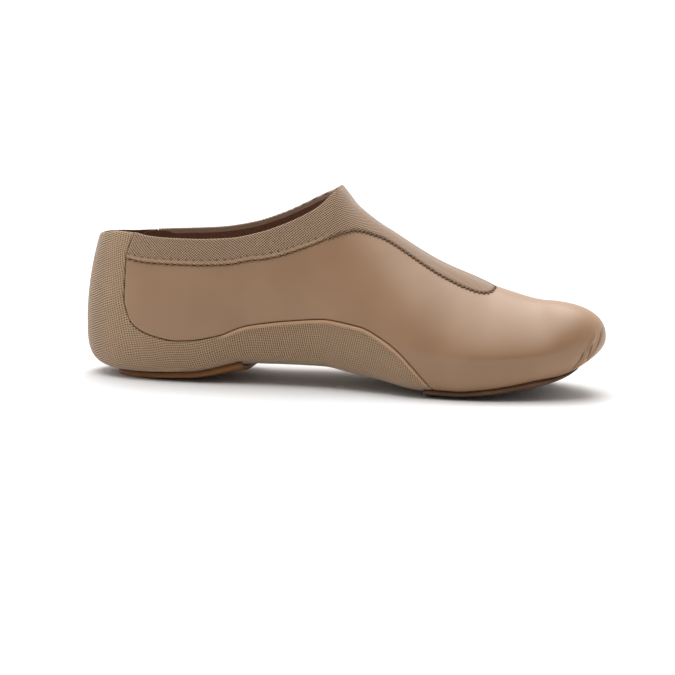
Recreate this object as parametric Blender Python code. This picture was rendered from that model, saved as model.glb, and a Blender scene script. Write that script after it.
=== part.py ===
"""Left jazz shoe, soft and split-soled, as an assembly of its sewn and glued pieces.

The shoe lies along X with its toe at +X, its inner (arch) side at -Y and +Z up, and stands on z = 0.
One closed form, the last with the leather drawn over it, is described by ribs. Each rib runs from the
middle of the underside, round one side and up to the ridge, and at heel and toe the ribs fan out.
Every piece is cut from that form between lines drawn on it, and gets its wall along the form's normals.
"""
import math
from bisect import bisect_left
from collections import namedtuple

import bmesh
import bpy
from mathutils import Vector

# Overall sizes, in metres
LENGTH = 0.240
BALL_WIDTH = 0.081
HEEL_WIDTH = 0.058
INSTEP_HEIGHT = 0.0890
HEEL_HEIGHT = 0.0645
TOE_HEIGHT = 0.0415
ARCH_RISE = 0.0065
TOE_SPRING = 0.0050

# Walls and layers, in metres
UPPER_WALL = 0.0016
KNIT_WALL = 0.0014
COLLAR_WALL = 0.0022
COLLAR_PROUD = 0.0005
COLLAR_BAND = 0.0117
EDGE_RAISE = 0.0008
EDGE_BAND = 0.0012
EDGE_CREST = 0.6
SOLE_THICK = 0.0016
HEEL_THICK = 0.0024
INSOLE_THICK = 0.0015
WEAR = 0.0002
GAP = 0.0003

# Places along the shoe, as shares of the length
HEEL_FAN = 0.20
TOE_FAN = 0.80
HEEL_ROUND = 0.22
TOE_ROUND = 0.24
ROUND_POWER = 2.3
HEEL_SEAM = 0.098
PAD_FRONT = 0.325
EDGE_START = 0.300
COLLAR_FRONT = 0.4935
SOLE_BACK = 0.683
BALL_SEAM = 0.700
EDGE_FADE = 0.030
VAMP_FRONT = 0.820
GORE_TIP = 0.745
GORE_POWER = 2.7
GORE_END = 0.7885

# How far out the upper's underside is open, as a share of the sole's reach, and how far the pad laps on
# to the knit in front of that opening, in metres
KEEL = 0.62
PAD_LAP = 0.0050

# Fineness: points on a rib, steps that slopes are taken over, and how near two turns may lie
RIB_STEPS = 40
TURN_STEP = 0.002
CLIMB_STEP = 0.004
TURN_MARGIN = 0.0005
MERGE = 0.00002
SHARP_ANGLE = 35

# Rows of faces in each sheet, and how much closer they lie where the form curves most
SIDE_STEPS = 12
UNDER_STEPS = 2
MIDDLE_STEPS = 1
KNIT_STEPS = 6
COLLAR_STEPS = 4
ROW_EASE = 1.35

INNER, OUTER = -1, 1

# Sections from heel to toe. inner, outer: half widths, as shares of the width there, which is seat of
# HEEL_WIDTH and the rest of BALL_WIDTH. spine: sideways shift of the middle line, in ball widths.
# heel, instep, toe: shares of HEEL_HEIGHT, INSTEP_HEIGHT and TOE_HEIGHT that add up to the ridge.
# low: squareness below the widest place. belly, high, crown: on each side, the height of the widest
# place, from underside to ridge, and the squareness above it towards the side and towards the ridge.
# arch, spring: shares of ARCH_RISE and TOE_SPRING. edge: how far out the sole reaches.
SECTION_COLUMNS = (
    "along seat inner outer spine heel instep toe low inner_belly inner_high inner_crown"
    " outer_belly outer_high outer_crown arch spring edge"
)
Section = namedtuple("Section", SECTION_COLUMNS)
SECTIONS = (
    Section(.000, 1.00, .491, .491, .000, 1.41, .000, .000, 3.7, .260, 1.75, 1.75, .260, 1.75, 1.75, .00, .00, .37),
    Section(.115, 1.00, .491, .491, .000, 1.41, .000, .000, 6.0, .250, 2.20, 2.20, .250, 2.20, 2.20, .00, .00, .72),
    Section(.220, 1.00, .491, .509, .000, 1.41, .000, .000, 6.0, .250, 2.40, 2.40, .250, 2.40, 2.40, .12, .00, .83),
    Section(.350, .75, .400, .494, -.012, .70, .525, .000, 4.0, .250, 2.40, 2.40, .250, 2.40, 2.40, .86, .00, .84),
    Section(.480, .40, .348, .487, -.025, .05, .984, .000, 4.0, .220, 2.00, 2.10, .200, 2.20, 2.20, .94, .00, .84),
    Section(.524, .28, .357, .508, -.033, .02, .787, .200, 4.4, .250, 1.85, 1.95, .205, 2.15, 2.15, .74, .00, .86),
    Section(.580, .15, .374, .535, -.043, .00, .615, .370, 5.0, .280, 1.70, 1.80, .210, 2.10, 2.10, .48, .00, .88),
    Section(.680, .00, .426, .562, -.062, .00, .295, .716, 6.0, .340, 1.45, 1.60, .220, 2.20, 2.20, .00, .00, .91),
    Section(.740, .00, .426, .549, -.074, .00, .170, .842, 6.5, .360, 1.32, 1.52, .230, 2.35, 2.35, .00, .00, .92),
    Section(.800, .00, .405, .520, -.086, .00, .070, .930, 6.0, .385, 1.27, 1.50, .250, 2.50, 2.50, .00, .24, .92),
    Section(.885, .00, .358, .454, -.099, .00, .000, .985, 4.6, .410, 1.30, 1.55, .340, 2.50, 2.50, .00, 1.00, .90),
    Section(1.000, .00, .340, .400, -.099, .00, .000, .930, 2.1, .540, 2.35, 2.35, .540, 2.35, 2.35, .00, 2.60, .62),
)

# The topline, from heel height (0) to the ridge (1), on the inner and the outer side
Rim = namedtuple("Rim", "along inner outer")
TOPLINE = (
    Rim(0.0000, .000, .000),
    Rim(0.0300, .050, -.015),
    Rim(0.0600, .095, -.030),
    Rim(0.1000, .080, -.025),
    Rim(0.1300, .045, -.015),
    Rim(0.1700, .030, .000),
    Rim(0.2300, .028, .035),
    Rim(0.3025, .060, .150),
    Rim(0.3600, .170, .325),
    Rim(0.3950, .275, .460),
    Rim(0.4325, .415, .620),
    Rim(0.4600, .565, .745),
    Rim(0.4750, .700, .835),
    Rim(0.4870, .870, .935),
    Rim(COLLAR_FRONT, 1.0, 1.0),
)

# The seam under the collar and round the gore, as a share of the rib from underside to ridge
Seam = namedtuple("Seam", "along share")
GORE_SEAM = (
    Seam(0.300, .590),
    Seam(0.360, .599),
    Seam(0.400, .617),
    Seam(0.440, .651),
    Seam(0.475, .694),
    Seam(0.495, .738),
    Seam(0.515, .805),
    Seam(0.535, .860),
    Seam(0.560, .897),
    Seam(0.595, .925),
    Seam(0.620, .928),
    Seam(0.660, .922),
    Seam(0.705, .908),
    Seam(GORE_TIP, .900),
    Seam(GORE_END, .900),
)

# The leather's lower edge over the knit: its height from the sole's edge (0) to heel height (1)
Edge = namedtuple("Edge", "along height")
ARCH_EDGE = (
    Edge(HEEL_SEAM, .524),
    Edge(0.113, .380),
    Edge(0.135, .315),
    Edge(0.165, .272),
    Edge(0.205, .242),
    Edge(0.285, .249),
    Edge(0.333, .292),
    Edge(0.420, .350),
    Edge(0.504, .384),
    Edge(0.558, .372),
    Edge(0.598, .318),
    Edge(0.630, .256),
    Edge(0.662, .156),
    Edge(0.685, .062),
    Edge(BALL_SEAM, .000),
)

Rib = namedtuple("Rib", "pivot spoke reach height share girth rise_low rise_high")
RIBS = {}


def slopes(table, column):
    """Slopes of a smooth curve through one column, which never overshoots its rows."""
    xs = [row.along for row in table]
    ys = [getattr(row, column) for row in table]
    steps = [(ys[i + 1] - ys[i]) / (xs[i + 1] - xs[i]) for i in range(len(xs) - 1)]
    inner = [0.0 if a * b <= 0.0 else 2.0 * a * b / (a + b) for a, b in zip(steps, steps[1:])]
    return xs, ys, [steps[0]] + inner + [steps[-1]]


CURVES = {
    (id(table), column): slopes(table, column)
    for table in (SECTIONS, TOPLINE, GORE_SEAM, ARCH_EDGE)
    for column in table[0]._fields[1:]
}


def smooth(table, column, along):
    """Value of one column at a place along the shoe."""
    xs, ys, ms = CURVES[(id(table), column)]
    along = min(max(along, xs[0]), xs[-1])
    i = min(max(bisect_left(xs, along) - 1, 0), len(xs) - 2)
    step = xs[i + 1] - xs[i]
    s = (along - xs[i]) / step
    rise = ys[i] * (1 + 2 * s) * (1 - s) ** 2 + ys[i + 1] * s * s * (3 - 2 * s)
    return rise + step * (ms[i] * s * (1 - s) ** 2 - ms[i + 1] * s * s * (1 - s))


def along_at(turn):
    """Share of the length at a turn: even along the sides, and by angle round heel and toe."""
    if turn < HEEL_FAN:
        return HEEL_FAN * (1 - math.sin((1 - turn / HEEL_FAN) * math.pi / 2))
    if turn > TOE_FAN:
        return TOE_FAN + (1 - TOE_FAN) * math.sin((turn - TOE_FAN) / (1 - TOE_FAN) * math.pi / 2)
    return turn


def turn_at(along):
    """Turn of the rib that reaches a share of the length."""
    if along < HEEL_FAN:
        return HEEL_FAN * (1 - math.asin(1 - along / HEEL_FAN) / (math.pi / 2))
    if along > TOE_FAN:
        return TOE_FAN + (1 - TOE_FAN) * math.asin((along - TOE_FAN) / (1 - TOE_FAN)) / (math.pi / 2)
    return along


def foot_of(along):
    """Where on the middle line a rib stands: the ribs fan out towards heel and toe."""
    if along < HEEL_FAN:
        far = (HEEL_FAN - along) / HEEL_FAN
        return HEEL_FAN * (1 - far + far * far / 2)
    if along > TOE_FAN:
        far = (along - TOE_FAN) / (1 - TOE_FAN)
        return TOE_FAN + (1 - TOE_FAN) * (far - far * far / 2)
    return along


def spine_y(along):
    """Sideways place of the middle line."""
    return smooth(SECTIONS, "spine", along) * BALL_WIDTH


def half_width(side, along):
    """Half width of the form on one side of the middle line."""
    seat = smooth(SECTIONS, "seat", along)
    width = seat * HEEL_WIDTH + (1 - seat) * BALL_WIDTH
    share = smooth(SECTIONS, "inner" if side == INNER else "outer", along)
    far = max(0.0, (HEEL_ROUND - along) / HEEL_ROUND, (along - 1 + TOE_ROUND) / TOE_ROUND)
    return width * share * (1 - far ** ROUND_POWER) ** (1 / ROUND_POWER)


def under_height(along):
    """Height of the form's underside on the middle line."""
    seat = smooth(SECTIONS, "seat", along)
    layer = seat * HEEL_THICK + (1 - seat) * SOLE_THICK + GAP - WEAR
    arch = smooth(SECTIONS, "arch", along) * ARCH_RISE
    return layer + arch + smooth(SECTIONS, "spring", along) * TOE_SPRING


def ridge_height(along):
    """Height of the form's ridge. Behind the collar's front nothing is built up to it."""
    heel = smooth(SECTIONS, "heel", along) * HEEL_HEIGHT
    instep = smooth(SECTIONS, "instep", along) * INSTEP_HEIGHT
    return heel + instep + smooth(SECTIONS, "toe", along) * TOE_HEIGHT


def rise_of(curve, along):
    """Slope of a height curve along the shoe."""
    return (curve(along + TURN_STEP) - curve(along - TURN_STEP)) / (2 * TURN_STEP * LENGTH)


def make_rib(side, turn):
    """Profile of the form in the upright plane of one rib, as reach from the middle line and height."""
    along = along_at(turn)
    foot = foot_of(along)
    pivot = Vector((foot * LENGTH, spine_y(foot), 0))
    rim = Vector((along * LENGTH, spine_y(along) + side * half_width(side, along), 0))
    width = (rim - pivot).length
    spoke = (rim - pivot) / width
    bottom, top = under_height(foot), ridge_height(foot)
    name = "inner" if side == INNER else "outer"
    middle = bottom + smooth(SECTIONS, name + "_belly", along) * (top - bottom)
    rise_low, rise_high = rise_of(under_height, foot), rise_of(ridge_height, foot)
    low = smooth(SECTIONS, "low", along)
    high, crown = smooth(SECTIONS, name + "_high", along), smooth(SECTIONS, name + "_crown", along)
    reach, height = [], []
    for i in range(RIB_STEPS + 1):
        angle = i / RIB_STEPS * math.pi / 2
        out = width * math.sin(angle) ** (2 / low)
        down = max(math.cos(angle), 0.0) ** (2 / low)
        reach.append(out)
        height.append(middle - down * (middle - bottom) + down * out * rise_low * spoke.x)
    for i in range(1, RIB_STEPS + 1):
        angle = i / RIB_STEPS * math.pi / 2
        out = width * max(math.cos(angle), 0.0) ** (2 / crown)
        up = math.sin(angle) ** (2 / high)
        reach.append(out)
        height.append(middle + up * (top - middle) + up * out * rise_high * spoke.x)
    share = [0.0]
    for i in range(1, len(reach)):
        share.append(share[-1] + math.hypot(reach[i] - reach[i - 1], height[i] - height[i - 1]))
    girth = share[-1]
    share = [value / girth for value in share]
    return Rib(pivot, spoke, reach, height, share, girth, rise_low, rise_high)


def rib(side, turn):
    """The rib at a turn, made once."""
    key = (side, round(turn, 7))
    if key not in RIBS:
        RIBS[key] = make_rib(side, turn)
    return RIBS[key]


def between(keys, values, key):
    """Straight-line look-up in two lists that run together."""
    i = min(max(bisect_left(keys, key), 1), len(keys) - 1)
    span = keys[i] - keys[i - 1]
    s = 0.0 if span <= 0 else min(max((key - keys[i - 1]) / span, 0.0), 1.0)
    return values[i - 1] + s * (values[i] - values[i - 1])


def on_form(side, turn, share):
    """Point of the form on a rib, at a share of its girth from underside (0) to ridge (1)."""
    if turn < 0:
        side, turn = -side, -turn
    if turn > 1:
        side, turn = -side, 2 - turn
    line = rib(side, turn)
    point = line.pivot + line.spoke * between(line.share, line.reach, share)
    point.z = between(line.share, line.height, share)
    return point


def normal_at(side, turn, share):
    """Outward normal of the form."""
    line = rib(side, turn)
    if share > 1 - CLIMB_STEP:
        return Vector((-line.rise_high, 0, 1)).normalized()
    if share < CLIMB_STEP:
        return Vector((line.rise_low, 0, -1)).normalized()
    ahead = on_form(side, turn + TURN_STEP, share) - on_form(side, turn - TURN_STEP, share)
    climb = on_form(side, turn, share + CLIMB_STEP) - on_form(side, turn, share - CLIMB_STEP)
    return (ahead.cross(climb) * -side).normalized()


def skin(side, turn, share, lift):
    """Point at a distance outside (or, below zero, inside) the form."""
    return on_form(side, turn, share) + normal_at(side, turn, share) * lift


def share_at_height(side, turn, height):
    """Share of a rib at a height."""
    line = rib(side, turn)
    if height >= line.height[-1]:
        return 1.0
    return between(line.height, line.share, height)


def edge_line(side, turn):
    """Line of the sole's edge on the form's underside."""
    line = rib(side, turn)
    wanted = smooth(SECTIONS, "edge", along_at(turn)) * line.reach[RIB_STEPS]
    return between(line.reach[:RIB_STEPS + 1], line.share[:RIB_STEPS + 1], wanted)


def keel_line(side, turn):
    """Line where the upper's underside ends, inside the sole's edge."""
    return KEEL * edge_line(side, turn)


def middle_line(side, turn):
    """The middle of the underside."""
    return 0.0


def top_line(side, turn):
    """Topline, and forward of the collar the ridge."""
    along = along_at(turn)
    if along >= COLLAR_FRONT:
        return 1.0
    share = smooth(TOPLINE, "inner" if side == INNER else "outer", along)
    ridge = rib(side, turn).height[-1]
    return share_at_height(side, turn, HEEL_HEIGHT + share * (ridge - HEEL_HEIGHT))


def arch_height(side, turn):
    """Height of the leather's lower edge over the knit."""
    line = rib(side, turn)
    sole = between(line.share, line.height, edge_line(side, turn))
    return sole + smooth(ARCH_EDGE, "height", along_at(turn)) * (HEEL_HEIGHT - sole)


def arch_line(side, turn, clear=0.0):
    """Leather's lower edge over the knit, moved up by a clearance square to the edge."""
    share = share_at_height(side, turn, arch_height(side, turn))
    steepest = 0.0
    for step in (-TURN_STEP, TURN_STEP):
        climb = arch_height(side, turn + step) - arch_height(side, turn)
        run = (along_at(turn + step) - along_at(turn)) * LENGTH
        steepest = max(steepest, abs(climb / run))
    share += clear * math.hypot(1, steepest) / rib(side, turn).girth
    return max(share, edge_line(side, turn))


def gore_line(side, turn, clear=0.0):
    """Seam under the collar and round the gore, moved away from the collar by a clearance."""
    along = along_at(turn)
    girth = rib(side, turn).girth
    end = GORE_END + clear / LENGTH
    if along >= end:
        return 1.0
    band = top_line(side, turn) - COLLAR_BAND / girth
    gore = smooth(GORE_SEAM, "share", along)
    first, last = GORE_SEAM[0].along, GORE_SEAM[1].along
    s = min(max((along - first) / (last - first), 0.0), 1.0)
    share = band + (gore - band) * s * s * (3 - 2 * s)
    if along > GORE_TIP:
        far = (along - GORE_TIP) / (end - GORE_TIP)
        share = 1 - (1 - share) * (1 - far ** GORE_POWER) ** (1 / GORE_POWER)
    return share - clear / girth


def upper_top(side, turn):
    """Upper edge of the leather."""
    return gore_line(side, turn, GAP)


def collar_low(side, turn):
    """Lower edge of the collar and gore."""
    return gore_line(side, turn)


def upper_low(side, turn):
    """Lower edge of the leather along the knit and then the sole's edge."""
    return arch_line(side, turn, GAP)


def knit_top(side, turn):
    """Upper edge of the knit under the leather."""
    return arch_line(side, turn)


def rolled_low(side, turn):
    """Lower side of the knit's rolled edge."""
    return arch_line(side, turn, -EDGE_BAND)


def rolled_high(side, turn):
    """Where the rolled edge has its full height."""
    return arch_line(side, turn, -EDGE_BAND * EDGE_CREST)


def flat(along):
    """No rise above the form."""
    return 0.0


def rolled(along):
    """Rise of the rolled edge, which starts under the quarter and runs out at the ball."""
    s = min(max(min(along - EDGE_START, BALL_SEAM - along) / EDGE_FADE, 0.0), 1.0)
    return EDGE_RAISE * s * s * (3 - 2 * s)


def spread(start, end, count, ease="even"):
    """Turns from start to end, closer together at one end or both where that is asked."""
    shares = [i / count for i in range(count + 1)]
    if ease == "both":
        shares = [(1 - math.cos(s * math.pi)) / 2 for s in shares]
    if ease == "end":
        shares = [math.sin(s * math.pi / 2) for s in shares]
    return [start + (end - start) * s for s in shares]


def chain(*runs):
    """Joins runs of turns that share their ends."""
    turns = list(runs[0])
    for run in runs[1:]:
        turns += run[1:]
    return turns


# Turns that the pieces share, from heel to toe
HEEL_TURNS = spread(0.0, turn_at(HEEL_SEAM), 7)
SIDE_TURNS = spread(turn_at(HEEL_SEAM), COLLAR_FRONT, 16, "both")
WAIST_TURNS = spread(COLLAR_FRONT, BALL_SEAM, 10, "end")
BALL_TURNS = spread(BALL_SEAM, GORE_END, 6, "end")
VAMP_TURNS = [GORE_END, VAMP_FRONT]
TOE_TURNS = spread(VAMP_FRONT, 1.0, 9)


def cut(turns, start, end):
    """The turns between two places, with the places themselves at the ends."""
    inside = [turn for turn in turns if start + TURN_MARGIN < turn < end - TURN_MARGIN]
    return [start] + inside + [end]


def with_turn(turns, wanted):
    """The turns with one more place among them, in place of any that lie too near to it."""
    return cut(turns, turns[0], wanted) + cut(turns, wanted, turns[-1])[1:]


class Panel:
    """A sheet on the form that is then given its wall."""

    def __init__(self):
        self.mesh = bmesh.new()
        layers = self.mesh.verts.layers.float
        self.side = layers.new("side")
        self.turn = layers.new("turn")
        self.share = layers.new("share")
        self.lift = layers.new("lift")

    def block(self, turns, lines, rows, lifts=(flat, flat), ease=1.0):
        """Adds one grid on each side, between two lines and two lifts, over the given turns."""
        low, high = lines
        columns = len(turns) - 1
        for side in (INNER, OUTER):
            grid = bmesh.ops.create_grid(self.mesh, x_segments=columns, y_segments=rows, size=0.5)
            for vert in grid["verts"]:
                column = round((vert.co.x + 0.5) * columns)
                row = round((vert.co.y + 0.5) * rows)
                turn = turns[column]
                bottom = low(side, turn)
                share = bottom + (max(high(side, turn), bottom) - bottom) * (row / rows) ** ease
                vert[self.side] = side
                vert[self.turn] = turn
                vert[self.share] = share
                along = along_at(turn)
                vert[self.lift] = lifts[0](along) * (1 - row / rows) + lifts[1](along) * row / rows
                vert.co = skin(side, turn, share, vert[self.lift])

    def wall(self, outside, inside, floor=False):
        """Moves the sheet to its outer face and adds the inner face and the rims."""
        mesh = self.mesh
        bmesh.ops.remove_doubles(mesh, verts=mesh.verts, dist=MERGE)
        made = bmesh.ops.extrude_face_region(mesh, geom=mesh.faces[:], use_keep_orig=True)
        fresh = {item for item in made["geom"] if isinstance(item, bmesh.types.BMVert)}
        for vert in mesh.verts:
            lift = inside if vert in fresh else outside + vert[self.lift]
            side = INNER if vert[self.side] < 0 else OUTER
            vert.co = skin(side, vert[self.turn], vert[self.share], lift)
            if floor:
                vert.co.z = max(vert.co.z, 0.0)

    def finish(self, name, colour, roughness):
        """Closes the piece and makes it an object with its own material."""
        bmesh.ops.triangulate(self.mesh, faces=self.mesh.faces)
        bmesh.ops.recalc_face_normals(self.mesh, faces=self.mesh.faces)
        data = bpy.data.meshes.new(name)
        self.mesh.to_mesh(data)
        self.mesh.free()
        data.shade_smooth()
        data.set_sharp_from_angle(angle=math.radians(SHARP_ANGLE))
        data.materials.append(material(name + "_finish", colour, roughness))
        piece = bpy.data.objects.new(name, data)
        bpy.context.collection.objects.link(piece)
        return piece


def material(name, colour, roughness):
    """Plain material of one piece."""
    made = bpy.data.materials.new(name)
    made.use_nodes = True
    shader = made.node_tree.nodes["Principled BSDF"]
    shader.inputs["Base Color"].default_value = (*colour, 1.0)
    shader.inputs["Roughness"].default_value = roughness
    shader.inputs["Metallic"].default_value = 0.0
    return made


def build_upper():
    """Leather vamp and quarters, open at the collar, round the gore, over the knit and at the sole."""
    panel = Panel()
    start = turn_at(HEEL_SEAM) + GAP / 2 / LENGTH
    ball = BALL_SEAM + GAP / LENGTH
    around_gore = [GORE_END, GORE_END + GAP / LENGTH, VAMP_FRONT]
    sides = chain(SIDE_TURNS, WAIST_TURNS, BALL_TURNS, around_gore, TOE_TURNS)
    sides = with_turn(cut(sides, start, 1.0), ball)
    panel.block(sides, (upper_low, upper_top), SIDE_STEPS, ease=ROW_EASE)
    panel.block(cut(sides, ball, 1.0), (keel_line, upper_low), UNDER_STEPS)
    panel.wall(0.0, -UPPER_WALL)
    return panel.finish("upper", (0.33, 0.20, 0.125), 0.45)


def build_knit():
    """Knit heel and arch panel, one piece from the topline at the back to the ball underneath."""
    panel = Panel()
    seam = turn_at(HEEL_SEAM) - GAP / 2 / LENGTH
    window = PAD_FRONT - PAD_LAP / LENGTH
    heel = cut(HEEL_TURNS, 0.0, seam)
    turns = with_turn(chain(heel, [seam] + SIDE_TURNS[1:], WAIST_TURNS), window)
    panel.block(cut(turns, window, BALL_SEAM), (middle_line, keel_line), MIDDLE_STEPS)
    panel.block(turns, (keel_line, edge_line), UNDER_STEPS)
    panel.block(turns, (edge_line, rolled_low), KNIT_STEPS, ease=ROW_EASE)
    panel.block(turns, (rolled_low, rolled_high), 1, (flat, rolled))
    panel.block(turns, (rolled_high, knit_top), 1, (rolled, rolled))
    panel.block(heel, (knit_top, top_line), KNIT_STEPS)
    panel.wall(0.0, -KNIT_WALL)
    return panel.finish("heel_arch_knit", (0.26, 0.16, 0.10), 0.85)


def build_collar():
    """Elastic collar band and instep gore, a little proud of the leather."""
    panel = Panel()
    start = turn_at(HEEL_SEAM) + GAP / 2 / LENGTH
    turns = cut(chain(SIDE_TURNS, WAIST_TURNS, BALL_TURNS), start, GORE_END)
    panel.block(turns, (collar_low, top_line), COLLAR_STEPS)
    panel.wall(COLLAR_PROUD, COLLAR_PROUD - COLLAR_WALL)
    return panel.finish("collar_gore", (0.28, 0.18, 0.12), 0.75)


def build_forefoot_sole():
    """Thin sole patch under ball and toes, worn flat where it stands."""
    panel = Panel()
    turns = cut(chain(WAIST_TURNS, BALL_TURNS, VAMP_TURNS, TOE_TURNS), SOLE_BACK, 1.0)
    panel.block(turns, (middle_line, keel_line), MIDDLE_STEPS)
    panel.block(turns, (keel_line, edge_line), UNDER_STEPS)
    panel.wall(GAP + SOLE_THICK, GAP, floor=True)
    return panel.finish("forefoot_sole", (0.07, 0.035, 0.018), 0.8)


def build_heel_pad():
    """Rubber pad under the heel, cut straight at its front."""
    panel = Panel()
    turns = cut(chain(HEEL_TURNS, SIDE_TURNS), 0.0, PAD_FRONT)
    panel.block(turns, (middle_line, keel_line), MIDDLE_STEPS)
    panel.block(turns, (keel_line, edge_line), UNDER_STEPS)
    panel.wall(GAP + HEEL_THICK, GAP, floor=True)
    return panel.finish("heel_pad", (0.085, 0.04, 0.02), 0.7)


def build_insole():
    """Sock lining on the inside of the bottom."""
    panel = Panel()
    turns = chain(HEEL_TURNS, SIDE_TURNS, WAIST_TURNS, BALL_TURNS, VAMP_TURNS, TOE_TURNS)
    panel.block(turns, (middle_line, keel_line), MIDDLE_STEPS)
    panel.block(turns, (keel_line, edge_line), UNDER_STEPS)
    under = -max(UPPER_WALL, KNIT_WALL) - GAP
    panel.wall(under, under - INSOLE_THICK)
    return panel.finish("insole", (0.05, 0.03, 0.02), 0.85)


def centre(pieces):
    """Moves the shoe so that the middle of its footprint box is at the origin."""
    for axis in (0, 1):
        places = [vert.co[axis] for piece in pieces for vert in piece.data.vertices]
        middle = (min(places) + max(places)) / 2
        for piece in pieces:
            for vert in piece.data.vertices:
                vert.co[axis] -= middle


def main():
    """Empties the scene, builds the shoe and centres it."""
    for old in list(bpy.data.objects):
        bpy.data.objects.remove(old, do_unlink=True)
    builders = (build_upper, build_knit, build_collar, build_forefoot_sole, build_heel_pad, build_insole)
    centre([build() for build in builders])


main()
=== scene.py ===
"""Looks of a left jazz shoe: leather, stretch knit, woven elastic, lining, rubber and thread.

The form is the one that the shoe's solids are cut from: ribs that run from the middle of the underside round
one side up to the ridge, and fan out round heel and toe. Each cloth or leather piece is a finer sheet on that
form, with the folds, seams and edges that the solids leave out.
All sizes are in metres. The toe is at +X, the inner (arch) side at -Y, and +Z is up.
"""
import logging
import math
from collections.abc import Callable, Sequence
from dataclasses import dataclass
from enum import IntEnum
from typing import NamedTuple

import bmesh
import bpy
import numpy as np
from mathutils import Matrix, Vector


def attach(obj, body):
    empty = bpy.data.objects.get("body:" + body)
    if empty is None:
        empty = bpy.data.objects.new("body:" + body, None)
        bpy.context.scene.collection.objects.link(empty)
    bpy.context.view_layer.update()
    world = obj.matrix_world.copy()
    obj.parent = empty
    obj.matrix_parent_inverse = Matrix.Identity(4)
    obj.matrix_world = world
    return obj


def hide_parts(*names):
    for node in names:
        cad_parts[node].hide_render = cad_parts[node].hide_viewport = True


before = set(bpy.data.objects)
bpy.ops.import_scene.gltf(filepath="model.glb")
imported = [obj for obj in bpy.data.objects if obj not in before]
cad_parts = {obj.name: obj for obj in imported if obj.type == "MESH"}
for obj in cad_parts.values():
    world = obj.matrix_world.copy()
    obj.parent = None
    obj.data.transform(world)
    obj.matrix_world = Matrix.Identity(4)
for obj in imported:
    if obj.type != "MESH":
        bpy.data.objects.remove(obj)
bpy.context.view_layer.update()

LOG = logging.getLogger("jazz_shoe")
MM = 0.001
Array = np.ndarray
SideLine = Callable[[int, Array], Array]
Mesh = bmesh.types.BMesh
Piece = bpy.types.Object
Material = bpy.types.Material
Tree = bpy.types.NodeTree
Socket = bpy.types.NodeSocket


class Side(IntEnum):
    """The two sides of the shoe."""

    INNER = -1
    OUTER = 1


class Section(NamedTuple):
    """One section of the last, as shares of the named sizes."""

    along: float
    seat: float
    inner: float
    outer: float
    spine: float
    heel: float
    instep: float
    toe: float
    low: float
    inner_belly: float
    inner_high: float
    inner_crown: float
    outer_belly: float
    outer_high: float
    outer_crown: float
    arch: float
    spring: float
    edge: float


class Rim(NamedTuple):
    """Topline from heel height (0) to the ridge (1)."""

    along: float
    inner: float
    outer: float


class Seam(NamedTuple):
    """Seam round the gore, as a share of the rib."""

    along: float
    share: float


class Edge(NamedTuple):
    """Leather's lower edge, from the sole's edge (0) to heel height (1)."""

    along: float
    height: float


SECTIONS = (
    Section(0, 1, .491, .491, 0, 1.41, 0, 0, 3.7, .26, 1.75, 1.75, .26, 1.75, 1.75, 0, 0, .37),
    Section(.115, 1, .491, .491, 0, 1.41, 0, 0, 6, .25, 2.2, 2.2, .25, 2.2, 2.2, 0, 0, .72),
    Section(.22, 1, .491, .509, 0, 1.41, 0, 0, 6, .25, 2.4, 2.4, .25, 2.4, 2.4, .12, 0, .83),
    Section(.35, .75, .4, .494, -.012, .7, .525, 0, 4, .25, 2.4, 2.4, .25, 2.4, 2.4, .86, 0, .84),
    Section(.48, .4, .348, .487, -.025, .05, .984, 0, 4, .22, 2, 2.1, .2, 2.2, 2.2, .94, 0, .84),
    Section(.524, .28, .357, .508, -.033, .02, .787, .2, 4.4, .25, 1.85, 1.95, .205, 2.15, 2.15, .74, 0, .86),
    Section(.58, .15, .374, .535, -.043, 0, .615, .37, 5, .28, 1.7, 1.8, .21, 2.1, 2.1, .48, 0, .88),
    Section(.68, 0, .426, .562, -.062, 0, .295, .716, 6, .34, 1.45, 1.6, .22, 2.2, 2.2, 0, 0, .91),
    Section(.74, 0, .426, .549, -.074, 0, .17, .842, 6.5, .36, 1.32, 1.52, .23, 2.35, 2.35, 0, 0, .92),
    Section(.8, 0, .405, .52, -.086, 0, .07, .93, 6, .385, 1.27, 1.5, .25, 2.5, 2.5, 0, .24, .92),
    Section(.885, 0, .358, .454, -.099, 0, 0, .985, 4.6, .41, 1.3, 1.55, .34, 2.5, 2.5, 0, 1, .9),
    Section(1, 0, .34, .4, -.099, 0, 0, .93, 2.1, .54, 2.35, 2.35, .54, 2.35, 2.35, 0, 2.6, .62),
)
COLLAR_FRONT = 0.4935
TOPLINE = (
    Rim(0, 0, 0),
    Rim(.03, .05, -.015),
    Rim(.06, .095, -.03),
    Rim(.1, .08, -.025),
    Rim(.13, .045, -.015),
    Rim(.17, .03, 0),
    Rim(.23, .028, .035),
    Rim(.3025, .06, .15),
    Rim(.36, .17, .325),
    Rim(.395, .275, .46),
    Rim(.4325, .415, .62),
    Rim(.46, .565, .745),
    Rim(.475, .7, .835),
    Rim(.487, .87, .935),
    Rim(COLLAR_FRONT, 1, 1),
)
GORE_TIP = 0.745
GORE_END = 0.7885
GORE_SEAM = (
    Seam(.3, .59),
    Seam(.36, .599),
    Seam(.4, .617),
    Seam(.44, .651),
    Seam(.475, .694),
    Seam(.495, .738),
    Seam(.515, .805),
    Seam(.535, .86),
    Seam(.56, .897),
    Seam(.595, .925),
    Seam(.62, .928),
    Seam(.66, .922),
    Seam(.705, .908),
    Seam(GORE_TIP, .9),
    Seam(GORE_END, .9),
)
HEEL_SEAM = 0.098
BALL_SEAM = 0.700
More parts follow.
